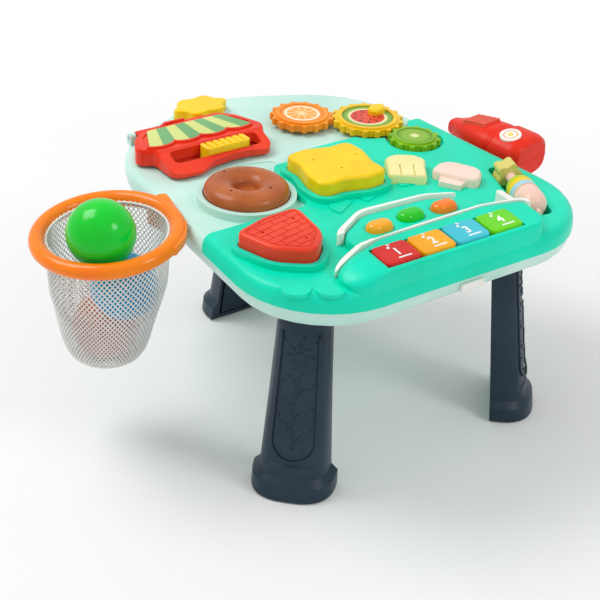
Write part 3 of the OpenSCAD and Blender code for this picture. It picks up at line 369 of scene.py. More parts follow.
def ball_finish(name, colour, deep, centre_z):
    finish = plastic(name, colour, deep, rough=0.2, drift_scale=26.0, coat=0.24, soak=0.25)
    tree = finish.node_tree
    height = add(tree, "ShaderNodeSeparateXYZ", {0: object_point(tree)}).outputs[2]
    off = calc(tree, "ABSOLUTE", calc(tree, "SUBTRACT", height, centre_z))
    line = fade(tree, off, LINE_HALF, LINE_EDGE, 1.0, 0.0, interpolation_type="SMOOTHSTEP")
    bump = next(n for n in tree.nodes if n.type == "BUMP")
    grain_out = bump.inputs["Height"].links[0].from_socket
    raised = calc(tree, "ADD", calc(tree, "MULTIPLY", line, LINE_DEPTH), grain_out)
    fill(tree, bump, {"Height": raised})
    return finish


for name, colour, deep in (("ball_green", (4, 214, 52), (0, 198, 34)),
                           ("ball_blue", (16, 182, 232), (0, 164, 220)),
                           ("ball_coral", (236, 128, 92), (226, 110, 76))):
    low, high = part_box(name)
    dress(ball_finish("Blown " + name, colour, deep, (low[2] + high[2]) / 2), name)
    print(name, "centre height", round((low[2] + high[2]) / 2, 4))

# %% [markdown]
# ## Fruit slices on the gears
# Each gear carries a printed disc. A slice follows a rule: everything depends on the
# distance from its middle and on the turn round it. One group gives those two numbers,
# and one group draws a ring of seeds from them, so three fruits share the same parts. The
# small print on the handset's badge isn't copied, and plain rings from the same group
# take its place.

# %% Group for distance and turn
FULL_TURN = 2 * math.pi
polar, g_in, g_out = new_group("Slice polar", "ShaderNodeTree", [("Vector", VECTOR, None)],
                               [("Radius", VALUE), ("Turn", VALUE)])
axes = add(polar, "ShaderNodeSeparateXYZ", {0: g_in.outputs[0]})
x2, y2 = (calc(polar, "MULTIPLY", axis, axis) for axis in axes.outputs[:2])
metres = calc(polar, "SQRT", calc(polar, "ADD", x2, y2))
turn = calc(polar, "DIVIDE", calc(polar, "ARCTAN2", axes.outputs[1], axes.outputs[0]), FULL_TURN)
fill(polar, g_out, {"Radius": calc(polar, "MULTIPLY", metres, 1000.0),
                    "Turn": calc(polar, "ADD", turn, 0.5)})
print("group", polar.name, "with", len(polar.nodes), "nodes")

# %% Group for a ring of seeds
seeds, g_in, g_out = new_group("Seed ring", "ShaderNodeTree", [
    ("Radius", VALUE, 0.0), ("Turn", VALUE, 0.0), ("Count", VALUE, 9.0),
    ("Ring radius", VALUE, 10.0), ("Seed width", VALUE, 0.8), ("Seed length", VALUE, 1.8),
    ("Offset", VALUE, 0.0)], [("Mask", VALUE)])
given = g_in.outputs
step = calc(seeds, "ADD", calc(seeds, "MULTIPLY", given["Turn"], given["Count"]), given["Offset"])
cell = calc(seeds, "SUBTRACT", calc(seeds, "FRACT", step), 0.5)
girth = calc(seeds, "MULTIPLY", given["Radius"], FULL_TURN)
beside = calc(seeds, "MULTIPLY", cell, calc(seeds, "DIVIDE", girth, given["Count"]))
across = calc(seeds, "DIVIDE", beside, given["Seed width"])
outside = calc(seeds, "SUBTRACT", given["Radius"], given["Ring radius"])
along = calc(seeds, "DIVIDE", outside, given["Seed length"])
gone = calc(seeds, "ADD", *(calc(seeds, "MULTIPLY", way, way) for way in (across, along)))
fill(seeds, g_out, {"Mask": fade(seeds, gone, 0.7, 1.3, 1.0, 0.0)})
print("group", seeds.name, "with", len(seeds.nodes), "nodes")

# %% Function for a printed slice
PRINT_REACH, STREAKS = 25.0, 90.0
SKIN_EDGE, SKIN_COLOUR, PAPER = (0.55, 0.95), (255, 232, 188), (255, 255, 255)


def paint(tree, mask, under, colour):
    return add(tree, "ShaderNodeMix", {"Factor": mask, "A": under, "B": tint(*colour)},
               data_type="RGBA").outputs["Result"]


def print_slice(name, node, bands, streak, seed_rings=(), seed_colour=(60, 26, 20), segments=0):
    low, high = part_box(node)
    middle = (low + high) / 2
    finish = plastic(name, PAPER, PAPER, rough=0.32, grain_depth=0.08, coat=0.14)
    tree = finish.node_tree
    moved = add(tree, "ShaderNodeMapping", {
        "Vector": object_point(tree), "Location": (-middle.x, -middle.y, 0)})
    radius, turn = add(tree, "ShaderNodeGroup", {0: moved.outputs[0]}, node_tree=polar).outputs
    streaks = add(tree, "ShaderNodeTexNoise", {
        "W": calc(tree, "MULTIPLY", turn, STREAKS), "Scale": 1.0}, noise_dimensions="1D")
    wobble = calc(tree, "MULTIPLY", calc(tree, "SUBTRACT", streaks.outputs[0], 0.5), streak)
    share = calc(tree, "DIVIDE", calc(tree, "ADD", radius, wobble), PRINT_REACH)
    ramp = add(tree, "ShaderNodeValToRGB", {0: share})
    points = ramp.color_ramp.elements
    for k, (mm, colour) in enumerate(bands):
        point = points[k] if k < 2 else points.new(mm / PRINT_REACH)
        point.position, point.color = mm / PRINT_REACH, tint(*colour)
    colour = ramp.outputs[0]
    if segments:
        wedge = calc(tree, "FRACT", calc(tree, "MULTIPLY", turn, float(segments)))
        off = calc(tree, "ABSOLUTE", calc(tree, "SUBTRACT", wedge, 0.5))
        gap = calc(tree, "MULTIPLY", calc(tree, "SUBTRACT", 0.5, off), radius)
        flesh = calc(tree, "LESS_THAN", radius, bands[-2][0])
        inside = calc(tree, "MULTIPLY", fade(tree, gap, *SKIN_EDGE, 1.0, 0.0), flesh)
        colour = paint(tree, inside, colour, SKIN_COLOUR)
    for ring in seed_rings:
        sizes = {2 + k: value for k, value in enumerate(ring)}
        made = add(tree, "ShaderNodeGroup", {0: radius, 1: turn, **sizes}, node_tree=seeds)
        colour = paint(tree, made.outputs[0], colour, seed_colour)
    fill(tree, tree.nodes["Principled BSDF"], {"Base Color": colour})
    dress(finish, node)


print("slices reach", PRINT_REACH, "mm")

# %% Slices and badge
print_slice("Orange slice", "orange_disc", [
    (0, (255, 226, 170)), (1.6, (252, 186, 84)), (9, (250, 166, 60)), (14.2, (252, 178, 80)),
    (14.8, (255, 240, 214)), (16.6, (255, 240, 214)), (17.2, (250, 150, 36)),
    (20, (246, 138, 24))], 0.5, segments=10)
print_slice("Melon slice", "melon_disc", [
    (0, (236, 96, 70)), (9, (226, 70, 52)), (15.6, (222, 66, 50)), (16.6, (244, 236, 190)),
    (18.2, (238, 238, 176)), (19.0, (150, 190, 70)), (24, (92, 150, 40))], 0.7,
    [(9, 12.0, 0.9, 1.8, 0.0), (5, 6.2, 0.8, 1.6, 0.4)])
print_slice("Kiwi slice", "kiwi_disc", [
    (0, (238, 240, 190)), (2.6, (226, 232, 160)), (4.4, (170, 206, 76)), (9, (142, 192, 44)),
    (14, (120, 176, 30)), (16, (96, 150, 24))], 2.2, [(14, 6.6, 0.5, 1.2, 0.0)], (46, 44, 20))
print_slice("Badge rings", "phone_badge", [
    (0, (250, 214, 96)), (2.4, (250, 216, 104)), (3.0, (252, 250, 240)), (5.2, (252, 250, 240)),
    (5.8, (246, 186, 150)), (6.8, (246, 186, 150)), (7.4, (252, 250, 244)),
    (11, (250, 248, 242))], 0.0)
print("slices printed")

# %% [markdown]
# ## Print under the shop window
# Behind the sliding block the base carries a printed sheet. Its drawing isn't copied. A
# plain pattern of soft checks in the same pale green and white fills the same place.

# %% Window print
CHECK_TURN, CHECK_SCALE = 0.5, 95.0
window_finish = plastic("Window print", PAPER, PAPER, rough=0.4, coat=0.1)
tree = window_finish.node_tree
turned_check = add(tree, "ShaderNodeMapping", {
    "Vector": object_point(tree), "Rotation": (0, 0, CHECK_TURN)})
check = add(tree, "ShaderNodeTexChecker", {
    "Vector": turned_check.outputs[0], "Scale": CHECK_SCALE,
    "Color1": tint(150, 190, 168), "Color2": tint(226, 238, 230)})
fill(tree, tree.nodes["Principled BSDF"], {"Base Color": check.outputs[0]})
dress(window_finish, "window_print")
print("every CAD node dressed:", all(len(n.data.materials) for n in nodes.values()))

# %% [markdown]
# ## Mesh helpers for the added pieces
# An added piece is a list of points and faces in the frame's own metres. One helper turns
# it into an object that rides on a body, with its faces turned outwards. Another sweeps a
# round section along a path, for cords, beads of trim and raised lines, and a third lists
# the faces of a prism, whose lower corners come first and upper corners second.

# %% Mesh helpers
def on_body(name, data, body):
    made = bpy.data.objects.new(name, data)
    scene.collection.objects.link(made)
    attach(made, body)
    return made


def piece(name, shape, finish, body, smooth=True):
    points, faces = shape
    data = bpy.data.meshes.new(name)
    data.from_pydata([tuple(p) for p in points], [], faces)
    work = bmesh.new()
    work.from_mesh(data)
    bmesh.ops.recalc_face_normals(work, faces=work.faces)
    work.to_mesh(data)
    work.free()
    for face in data.polygons:
        face.use_smooth = smooth
    data.materials.append(finish)
    return on_body(name, data, body)


def sweep(path, radius, sides=8, closed=False, up=Vector((0, 0, 1))):
    points, faces, n = [], [], len(path)
    for i, p in enumerate(path):
        before = path[(i - 1) % n] if closed or i else p
        after = path[(i + 1) % n] if closed or i < n - 1 else p
        ahead = (after - before).normalized()
        side = ahead.cross(up).normalized()
        over = side.cross(ahead)
        for k in range(sides):
            c, s = circle(360 * k / sides, radius[i] if isinstance(radius, list) else radius)
            points.append(p + side * c + over * s)
    for i in range(n if closed else n - 1):
        for k in range(sides):
            a, b = i * sides + k, i * sides + (k + 1) % sides
            c, d = (i + 1) % n * sides + (k + 1) % sides, (i + 1) % n * sides + k
            faces.append((a, b, c, d))
    if not closed:
        faces.append(tuple(range(sides)))
        faces.append(tuple((n - 1) * sides + k for k in range(sides)))
    return points, faces


def joined_up(*parts):
    points, faces = [], []
    for more_points, more_faces in parts:
        start = len(points)
        points += more_points
        faces += [tuple(start + k for k in face) for face in more_faces]
    return points, faces


def prism_faces(n):
    ends = [tuple(range(n)), tuple(range(2 * n - 1, n - 1, -1))]
    return ends + [(i, (i + 1) % n, n + (i + 1) % n, n + i) for i in range(n)]


print("a box has", len(prism_faces(4)), "faces")

# %% [markdown]
# ## Two tops with whole faces
# The flat tops of the cookie and of the cloud button arrive with a few folded triangles
# at their wavy rims, which shade as dark slits. A CAD node's mesh is never changed, so a
# merged copy of each loses its top faces, and the open rim is filled again in one go,
# holes included.

# %% Cookie and cloud with refilled tops
def refill_top(node, name, body):
    data = bpy.data.meshes.new(name)
    work = bmesh.new()
    work.from_mesh(nodes[node].data)
    bmesh.ops.remove_doubles(work, verts=work.verts, dist=JOIN)
    top = max(v.co.z for v in work.verts)
    flat = [f for f in work.faces if all(v.co.z > top - JOIN for v in f.verts)]
    bmesh.ops.delete(work, geom=flat, context="FACES_KEEP_BOUNDARY")
    rim = [e for e in work.edges if e.is_boundary or e.is_wire]
    bmesh.ops.triangle_fill(work, edges=rim, use_beauty=True, use_dissolve=False, normal=(0, 0, 1))
    bmesh.ops.recalc_face_normals(work, faces=work.faces)
    print(name, "refilled", len(flat), "faces inside", len(rim), "rim edges, open edges left:",
          sum(1 for e in work.edges if not e.is_manifold))
    work.to_mesh(data)
    work.free()
    data.materials.append(nodes[node].data.materials[0])
    made = on_body(name, data, body)
    soften(made)
    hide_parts(node)


refill_top("cookie_block", "cookie_whole", "cookie_body")
refill_top("cloud_button", "cloud_whole", "cloud_body")

# %% [markdown]
# ## Trees that repeat
# The net, its stitches, the dots on the legs and the crosses in the screws are one small
# shape many times over. A geometry tree repeats each of them. The result is then made a
# plain mesh, because an export keeps neither the tree nor its copies. Every tree begins
# with the plan's points and ends by making its copies real and giving them a finish.

# %% Function that runs a tree once
def run_tree(name, tree, points, edges, values, body):
    data = bpy.data.meshes.new(name + "_plan")
    data.from_pydata([tuple(p) for p in points], edges, [])
    plan = bpy.data.objects.new(name + "_plan", data)
    scene.collection.objects.link(plan)
    tool = plan.modifiers.new("Repeat", "NODES")
    tool.node_group = tree
    for item in tree.interface.items_tree:
        if item.in_out == "INPUT" and item.name in values:
            tool[item.identifier] = values[item.name]
    graph = bpy.context.evaluated_depsgraph_get()
    mesh = bpy.data.meshes.new_from_object(plan.evaluated_get(graph), preserve_all_data_layers=True,
                                           depsgraph=graph)
    mesh.name = name
    plan.modifiers.clear()
    bpy.data.objects.remove(plan)
    print(name, len(mesh.polygons), "faces")
    return on_body(name, mesh, body)


def start_tree(name, sizes):
    inputs = [("Geometry", GEOMETRY, None)] + sizes + [("Finish", "NodeSocketMaterial", None)]
    tree, s_in, s_out = new_group(name, "GeometryNodeTree", inputs, [("Geometry", GEOMETRY)])
    return tree, s_in.outputs, s_out


def end_tree(tree, shape, given, s_out):
    real = add(tree, "GeometryNodeRealizeInstances", {0: shape.outputs[0]})
    coloured = add(tree, "GeometryNodeSetMaterial", {
        "Geometry": real.outputs[0], "Material": given["Finish"]})
    fill(tree, s_out, {0: coloured.outputs[0]})
    print("tree", tree.name, "with", len(tree.nodes), "nodes")


# %% Tree for strands
strands, given, s_out = start_tree("Strands", [
    ("Strand radius", VALUE, 0.0005), ("Sides", "NodeSocketInt", 4)])
lines = add(strands, "GeometryNodeMeshToCurve", {0: given["Geometry"]})
section = add(strands, "GeometryNodeCurvePrimitiveCircle", {
    "Resolution": given["Sides"], "Radius": given["Strand radius"]})
thick = add(strands, "GeometryNodeCurveToMesh", {
    "Curve": lines.outputs[0], "Profile Curve": section.outputs[0]})
round_off = add(strands, "GeometryNodeSetShadeSmooth", {0: thick.outputs[0], "Shade Smooth": True})
end_tree(strands, round_off, given, s_out)

# %% [markdown]
# ## Net
# The bag is a knotless polyester net, hung inside the hoop and gathered at the bottom. Its
# cells are diamonds. A cloth simulation could drape it, but it would settle a little
# differently each time. The plan here is a surface in numbers: a tapered bag, drawn in
# where nothing pushes it, and pushed out over each ball. Its crossing edges are then
# given a round section by the tree above.

# %% Surface of the net
HOOP, DROOP = (-213.7, 23.4), math.tan(math.radians(5.7))
NET_TOP, NET_LOW, NET_FALL = 200.8, 78.2, 124
BALL_ROOM, REAR_DRIFT = 29.4, 5.6
CALM_FALL, DRIFT_FALL, DRIFT_SPAN = 118, 56, 50
bag_profile = [(0, 50.0), (12, 50.0), (34, 49.8), (48, 49.2), (62, 46.4), (76, 43.2), (90, 40),
               (102, 37.2), (110, 34.4), (116, 30.6), (119.5, 26.4), (122, 21), (123.2, 15),
               (123.8, 9), (124, 3.2)]
ball_places = [(-15.9, -18.2, 212.7), (4.1, -19.9, 158.9), (0.2, 7.6, 108.7)]


def bag_radius(fall):
    for (fall_0, wide_0), (fall_1, wide_1) in zip(bag_profile, bag_profile[1:]):
        if fall <= fall_1:
            break
    return wide_0 + (wide_1 - wide_0) * min(1, (fall - fall_0) / (fall_1 - fall_0))


def past_balls(p):
    for ball in map(Vector, ball_places):
        if (p - ball).length < BALL_ROOM:
            room = BALL_ROOM ** 2 - (p.z - ball.z) ** 2
            level = Vector((p.x, p.y, 0))
            out, foot = level.normalized(), Vector((ball.x, ball.y, 0))
            along_out = out.dot(foot)
            beside = foot.length_squared - along_out ** 2
            if room > beside:
                p = p + out * max(0, along_out + math.sqrt(room - beside) - level.length)
    return p


def bag_point(turn, fall):
    r = bag_radius(fall)
    top = NET_TOP + DROOP * r * math.cos(turn)
    # three wide and seven narrow folds go round the bag, and none at its hem and bottom
    calm = math.sin(math.pi * min(1, fall / CALM_FALL))
    waves = 0.9 + 0.7 * math.sin(3 * turn + fall * 0.045) + 0.4 * math.sin(7 * turn - fall * 0.09)
    r -= calm * waves
    low = max(0, min(1, (fall - DRIFT_FALL) / DRIFT_SPAN))
    drift = REAR_DRIFT * low * low * (3 - 2 * low)
    p = past_balls(Vector((r * math.cos(turn), r * math.sin(turn) + drift,
                           top - fall * (top - NET_LOW) / NET_FALL)))
    return place(HOOP[0] + p.x, HOOP[1] + p.y, p.z)


COLUMNS, ROWS = 72, 45
print("net cell about", round(FULL_TURN * bag_radius(0) / COLUMNS, 2), "mm wide")

# %% Net of strands
net_white = plastic("Net yarn", (246, 246, 242), (228, 229, 226), rough=0.62, grain_scale=2600.0,
                    grain_depth=0.6)
net_points, net_edges = [], []
for k in range(ROWS + 1):
    for c in range(COLUMNS):
        turn = FULL_TURN * (c + 0.5 * (k % 2)) / COLUMNS
        net_points.append(bag_point(turn, NET_FALL * (k / ROWS)))
        beside = (c + (1 if k % 2 else -1)) % COLUMNS
        if k < ROWS:
            net_edges += [(k * COLUMNS + c, (k + 1) * COLUMNS + c),
                          (k * COLUMNS + c, (k + 1) * COLUMNS + beside)]
net = run_tree("net_strands", strands, net_points, net_edges,
               {"Strand radius": 0.0006, "Sides": 4, "Finish": net_white}, "root")
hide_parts("net_bag")

# %% [markdown]
# ## Hem of the net
# The top edge of the net is a doubled cord, held to the hoop by short stitches. The cord
# is a swept ring, and the stitches are one tiny bar of yarn, repeated round it by a tree.

# %% Hem and stitches
HEM_RADIUS, HEM_HEIGHT, HEM_CORD = 50.0, 200.6, 0.0009


def hem_point(degrees, out=0.0, rise=0.0):
    x, y = circle(degrees, HEM_RADIUS + out)
    return place(HOOP[0] + x, HOOP[1] + y, HEM_HEIGHT + rise + DROOP * x)


hem = [hem_point(3 * k) for k in range(120)]
piece("net_hem", sweep(hem, HEM_CORD, closed=True), net_white, "root")
stitches, given, s_out = start_tree("Stitches", [
    ("Stitch length", VALUE, 0.003), ("Yarn radius", VALUE, 0.0005)])
bead = add(stitches, "GeometryNodeMeshCylinder", {
    "Vertices": 6, "Radius": given["Yarn radius"], "Depth": given["Stitch length"]})
normal = add(stitches, "GeometryNodeInputNormal")
lean = add(stitches, "FunctionNodeAlignEulerToVector", {"Vector": normal.outputs[0]})
copies = add(stitches, "GeometryNodeInstanceOnPoints", {
    "Points": given["Geometry"], "Instance": bead.outputs[0], "Rotation": lean.outputs[0]})
end_tree(stitches, copies, given, s_out)
run_tree("net_stitches", stitches, [hem_point(360 * k / 64, 0.6, 0.4) for k in range(64)], [],
         {"Stitch length": 0.0034, "Yarn radius": 0.00055, "Finish": net_white}, "root")

# %% [markdown]
# ## Relief on the legs
# Each leg has a sunk panel with a raised drawing. The drawing itself isn't copied: a
# flower, a sprig of leaves and a spray of dots of the same size take its place. A bump map
# would look flat at the panel's edge, so the drawing is real, low relief. A point of it is
# given by its height and its distance from the leg's centre line, and one function wraps
# it onto the bowed face.

# %% Face of a leg
LEGS = [("leg_front_left", (-112, -114), 135), ("leg_front_right", (112, -114), 225),
        ("leg_back", (0, 139), 0)]
NECK, NECK_WIDTH, FLARE = 180.6, 44, 19
NECK_DEPTH, DEPTH_FLARE, LEAN = 24, 9, 18
BOW, PANEL_SUNK = 0.74, 1.3


def leg_half(z):
    return (NECK_WIDTH + FLARE * (1 - min(z, NECK) / NECK) ** 1.25) / 2


def leg_face(leg, x, z, proud=0.0):
    deep = NECK_DEPTH + DEPTH_FLARE * (1 - z / NECK) - PANEL_SUNK
    share = min(1, (abs(x) / leg_half(z)) ** (1 / BOW))
    y = deep * math.sqrt(1 - share * share) ** BOW - LEAN * z / NECK + proud
    (middle_x, middle_y), (c, s) = leg[1], circle(leg[2])
    return place(middle_x + x * c - y * s, middle_y + x * s + y * c, z)


print("leg is", round(2 * leg_half(90), 1), "mm wide at mid height")

# %% Leaf and dome
LEAF_SECTION = ((-1, -0.4), (-0.45, 0.75), (0, 1.0), (0.45, 0.75), (1, -0.4))
LEAF_STEPS, PROUD, SUNK = 8, 1.1, 0.4


def leaf(leg, x, z, long, wide, angle):
    points, faces, (c, s) = [], [], circle(angle)
    for i in range(LEAF_STEPS + 1):
        t = i / LEAF_STEPS
        half, tip = wide / 2 * math.sin(math.pi * t) ** 0.75, i in (0, LEAF_STEPS)
        for across, rise in LEAF_SECTION:
            u, v = long * (t - 0.5), half * across
            lift = -SUNK if tip else rise * PROUD * math.sin(math.pi * t) ** 0.4
            points.append(leg_face(leg, x + u * c - v * s, z + u * s + v * c, lift))
    n = len(LEAF_SECTION)
    for a in range(0, LEAF_STEPS * n, n):
        faces += [(a + k, a + k + 1, a + n + k + 1, a + n + k) for k in range(n - 1)]
        faces.append((a, a + n, a + 2 * n - 1, a + n - 1))
    return points, faces


def dome(leg, x, z, radius, sides=16):
    points, faces = [leg_face(leg, x, z, PROUD)], []
    for rise, share in ((0.85, 0.55), (0.3, 0.9), (-0.4, 1.0)):
        for i in range(sides):
            u, v = circle(360 * i / sides, radius * share)
            points.append(leg_face(leg, x + u, z + v, PROUD * rise))
    for i in range(sides):
        j = (i + 1) % sides
        faces.append((0, 1 + i, 1 + j))
        for a in (1, 1 + sides):
            faces.append((a + i, a + sides + i, a + sides + j, a + j))
    faces.append(tuple(1 + 2 * sides + i for i in range(sides)))
    return points, faces


print("a leaf has", len(LEAF_SECTION) * LEAF_STEPS, "faces")

# %% Relief and panel rim of each leg
FLOWER_HEIGHT, FLOWER_MIDDLE, PETAL_RING, PETAL_SIZE = 130, 4.2, 8.4, (7.6, 4.4)
STEM_LOW, STEM_HIGH, STEM_SWAY = 46, 114, 2.4
LEAF_SIZE, LEAF_LOW, LEAF_STEP, LEAF_OUT, LEAF_TURN = (13.5, 5.6), 52, 10.5, 7, 52
PANEL_SHARE, PANEL_HIGH, PANEL_LOW, PANEL_END = 0.665, 149, 52, 17
RELIEF_LINE = 0.0009


def panel_edge(leg):
    left = [(-PANEL_SHARE * leg_half(z), z) for z in range(PANEL_HIGH, PANEL_LOW + 2, -6)]
    low = [(PANEL_SHARE * leg_half(50) * c, PANEL_LOW + PANEL_END * s)
           for c, s in (circle(a) for a in range(180, 361, 12))]
    right = [(-x, z) for x, z in reversed(left)]
    return [leg_face(leg, x, z, PANEL_SUNK) for x, z in left + low + right]


def stem_x(z):
    return STEM_SWAY * math.sin((z - STEM_LOW) / 17)


for leg in LEGS:
    parts = [dome(leg, 0, FLOWER_HEIGHT, FLOWER_MIDDLE)]
    for a in range(0, 360, 45):
        x, z = circle(a, PETAL_RING)
        parts.append(leaf(leg, x, FLOWER_HEIGHT + z, *PETAL_SIZE, a))
    stem = [leg_face(leg, stem_x(z), z, 0.2) for z in range(STEM_LOW, STEM_HIGH, 4)]
    parts.append(sweep(stem, RELIEF_LINE))
    for k in range(6):
        z, side = LEAF_LOW + k * LEAF_STEP, 1 if k % 2 else -1
        x = stem_x(z) + side * LEAF_OUT
        parts.append(leaf(leg, x, z + 5, *LEAF_SIZE, 90 - side * LEAF_TURN))
    outward = Vector((*circle(leg[2] + 90), 0))
    parts.append(sweep(panel_edge(leg), RELIEF_LINE, up=outward))
    piece(leg[0] + "_relief", joined_up(*parts), finishes["Navy legs"], "root")
    print(leg[0], "relief has", len(parts), "parts")

# %% [markdown]
# ## Dots between the leaves
# Small domes fill the ground of the panel. They are one low dome, repeated on a list of
# points by a tree, with a size that is a named input.

# %% Dots on the legs
dots, given, s_out = start_tree("Dots", [("Dot radius", VALUE, 0.0011)])
ball = add(dots, "GeometryNodeMeshUVSphere", {
    "Segments": 10, "Rings": 6, "Radius": given["Dot radius"]})
smooth_ball = add(dots, "GeometryNodeSetShadeSmooth", {0: ball.outputs[0], "Shade Smooth": True})
copies = add(dots, "GeometryNodeInstanceOnPoints", {
    "Points": given["Geometry"], "Instance": smooth_ball.outputs[0]})
end_tree(dots, copies, given, s_out)
dot_plan = [(-13, 142), (13, 142), (-14.5, 118), (14, 116), (-13, 104), (13.5, 96), (-14, 84),
            (14, 76), (-14.5, 64), (13.5, 58), (-9, 46), (9, 44), (0, 40), (-12, 128), (12.5, 106),
            (-3, 146), (4, 118), (-5, 115)]
for leg in LEGS:
    run_tree(leg[0] + "_dots", dots, [leg_face(leg, x, z) for x, z in dot_plan], [],
             {"Dot radius": 0.0011, "Finish": finishes["Navy legs"]}, "root")

# %% [markdown]
# ## Marks on the keys
# Each key carries a white print: a small note, a large sign and a line. The signs in the
# photograph are words, so plain numbers take their place. The marks are 0.16 mm thick
# and lie on the key's sloping top. They could be a picture on the key, but a picture can't
# be made bigger without blur. Text is turned into a mesh first, then laid on the slope.

# %% Plane of a key and flat signs
KEY_STEP, FIRST_KEY, KEY_LINE = 35.6, -77.1 + 17.2, -162
DECK_TOP, KEY_BLOCK, KEY_PROUD, SLOPE = 210, 15.2, 2.4, 0.1
MARK_LINE, MARK_THICK, MARK_GAP = -159.6, 0.00016, 0.02


def key_plane(k):
    height = DECK_TOP + KEY_BLOCK + KEY_PROUD + SLOPE * (MARK_LINE - KEY_LINE) + MARK_GAP
    middle = place(FIRST_KEY + k * KEY_STEP, MARK_LINE, height)
    right, uphill = Vector((1, 0, 0)), Vector((0, 1, SLOPE)).normalized()
    up = right.cross(uphill)
    return Matrix((right.to_4d(), uphill.to_4d(), up.to_4d(), (0, 0, 0, 1))).transposed(), middle


def plate(outline):
    points = [Vector((x / 1000, y / 1000, z)) for z in (0, MARK_THICK) for x, y in outline]
    return points, prism_faces(len(outline))


def pill(x, y, long, wide):
    ends = []
    for side, span in ((1, range(-90, 91, 30)), (-1, range(90, 271, 30))):
        middle = x + side * (long - wide) / 2
        ends += [(middle + u, y + v) for u, v in (circle(a, wide / 2) for a in span)]
    return plate(ends)


def quaver(x, y):
    head = [(x + 1.5 * c - 0.4 * s, y + 1.1 * s + 0.3 * c)
            for c, s in (circle(a) for a in range(0, 360, 30))]
    stem = [(x + 1.0, y), (x + 1.6, y), (x + 1.6, y + 5), (x + 1.0, y + 5)]
    flag = [(x + 1.5, y + 5), (x + 1.5, y + 3.9), (x + 3.0, y + 3.0), (x + 3.5, y + 1.9),
            (x + 3.9, y + 2.7), (x + 3.2, y + 3.9)]
    return joined_up(plate(head), plate(stem), plate(flag))


print("keys stand", KEY_STEP, "mm apart")

# %% Numerals, and the marks of each key
print_white = plastic("Key print", (252, 252, 250), (240, 242, 242), rough=0.3, coat=0.1)
SIGN_SIZE, SIGN_BOLD, SIGN_MOVE = 0.0125, 0.00028, Vector((0.0005, -0.0008, MARK_THICK / 2))


def numeral(sign):
    words = bpy.data.curves.new("numeral", "FONT")
    words.body, words.size, words.offset = sign, SIGN_SIZE, SIGN_BOLD
    words.extrude = MARK_THICK / 2
    words.align_x = words.align_y = "CENTER"
    holder = bpy.data.objects.new("numeral", words)
    scene.collection.objects.link(holder)
    graph = bpy.context.evaluated_depsgraph_get()
    mesh = bpy.data.meshes.new_from_object(holder.evaluated_get(graph))
    bpy.data.objects.remove(holder)
    return [v.co + SIGN_MOVE for v in mesh.vertices], [tuple(f.vertices) for f in mesh.polygons]


for k, colour in enumerate(("red", "amber", "blue", "green")):
    points, faces = joined_up(numeral(str(k + 1)), quaver(-3.6, 6.2), pill(2.6, -8.3, 13, 1.5))
    axes, middle = key_plane(k)
    piece("key_" + colour + "_marks", ([axes @ p + middle for p in points], faces), print_white,
          "key_" + colour + "_body", smooth=False)
    print("key", colour, "marks", len(faces), "faces")

# %% [markdown]
# ## Hoop tab and front latch
# The hoop is clamped to the table by an angular tab on its inner side. It is a plate that
# follows the tube on one side and ends in straight edges on the other, with a rounded
# rim from a bevel. The latch at the front edge is a small white bar.

# %% Hoop tab and front latch
HOOP_HEIGHT, TAB_RADIUS, RIM_ANGLE = 200, 59, math.radians(40)
TAB_LOW, TAB_HIGH = HOOP_HEIGHT - 4.6, HOOP_HEIGHT + 3.6


def slab_piece(name, outline, low, high, finish, bevel, lean=0.0):
    points = [place(x, y, z + lean * (x - HOOP[0])) for z in (low, high) for x, y in outline]
    made = piece(name, (points, prism_faces(len(outline))), finish, "root")
    round_rim = made.modifiers.new("Round rim", "BEVEL")
    round_rim.width, round_rim.segments, round_rim.limit_method = bevel, 4, "ANGLE"
    round_rim.angle_limit, round_rim.harden_normals = RIM_ANGLE, True


tube_side = [(HOOP[0] + u, HOOP[1] + v)
             for u, v in (circle(a, TAB_RADIUS) for a in range(24, -67, -6))]
table_side = [(-183.6, -35.4), (-171.4, -27.4), (-163, -18), (-155.3, -5.5), (-145.6, 39.5),
              (-144.8, 45.4), (-150.4, 48.6)]
slab_piece("hoop_tab", tube_side + table_side, TAB_LOW, TAB_HIGH, finishes["Orange hoop"],
           0.0016, lean=DROOP)
slab_piece("front_latch", [(-4, -179.2), (20, -179.2), (20, -176), (-4, -176)], 182.6, 189.6,
           finishes["White trim"], 0.0012)
print("tab spans", len(tube_side + table_side), "corners")

# %% [markdown]
# ## Trims of the shop
# A bead follows the scalloped front edge of the awning. Two round sleeves cover the hinge
# pin at the back, with a wedge between them.

# %% Bead of the awning
shop_red = finishes["Shop red"]
FIRST_SCALLOP, SCALLOP_LINE, SCALLOP_HEIGHT = -73 - 38.5, 101.5 + 9.8, 221.6
SCALLOP_HALF, SCALLOP_DROP, BEAD_RADIUS = 13.75, 6.7, 0.0015
scallops = []
for k in range(4):
    for c, s in (circle(a) for a in range(188, 353, 15)):
        scallops.append(place(FIRST_SCALLOP + 2 * SCALLOP_HALF * k + SCALLOP_HALF * c,
                              SCALLOP_LINE + SCALLOP_DROP * s, SCALLOP_HEIGHT))
piece("awning_bead", sweep(scallops, BEAD_RADIUS, 10), shop_red, "shop_door")
print("bead follows", len(scallops), "points")

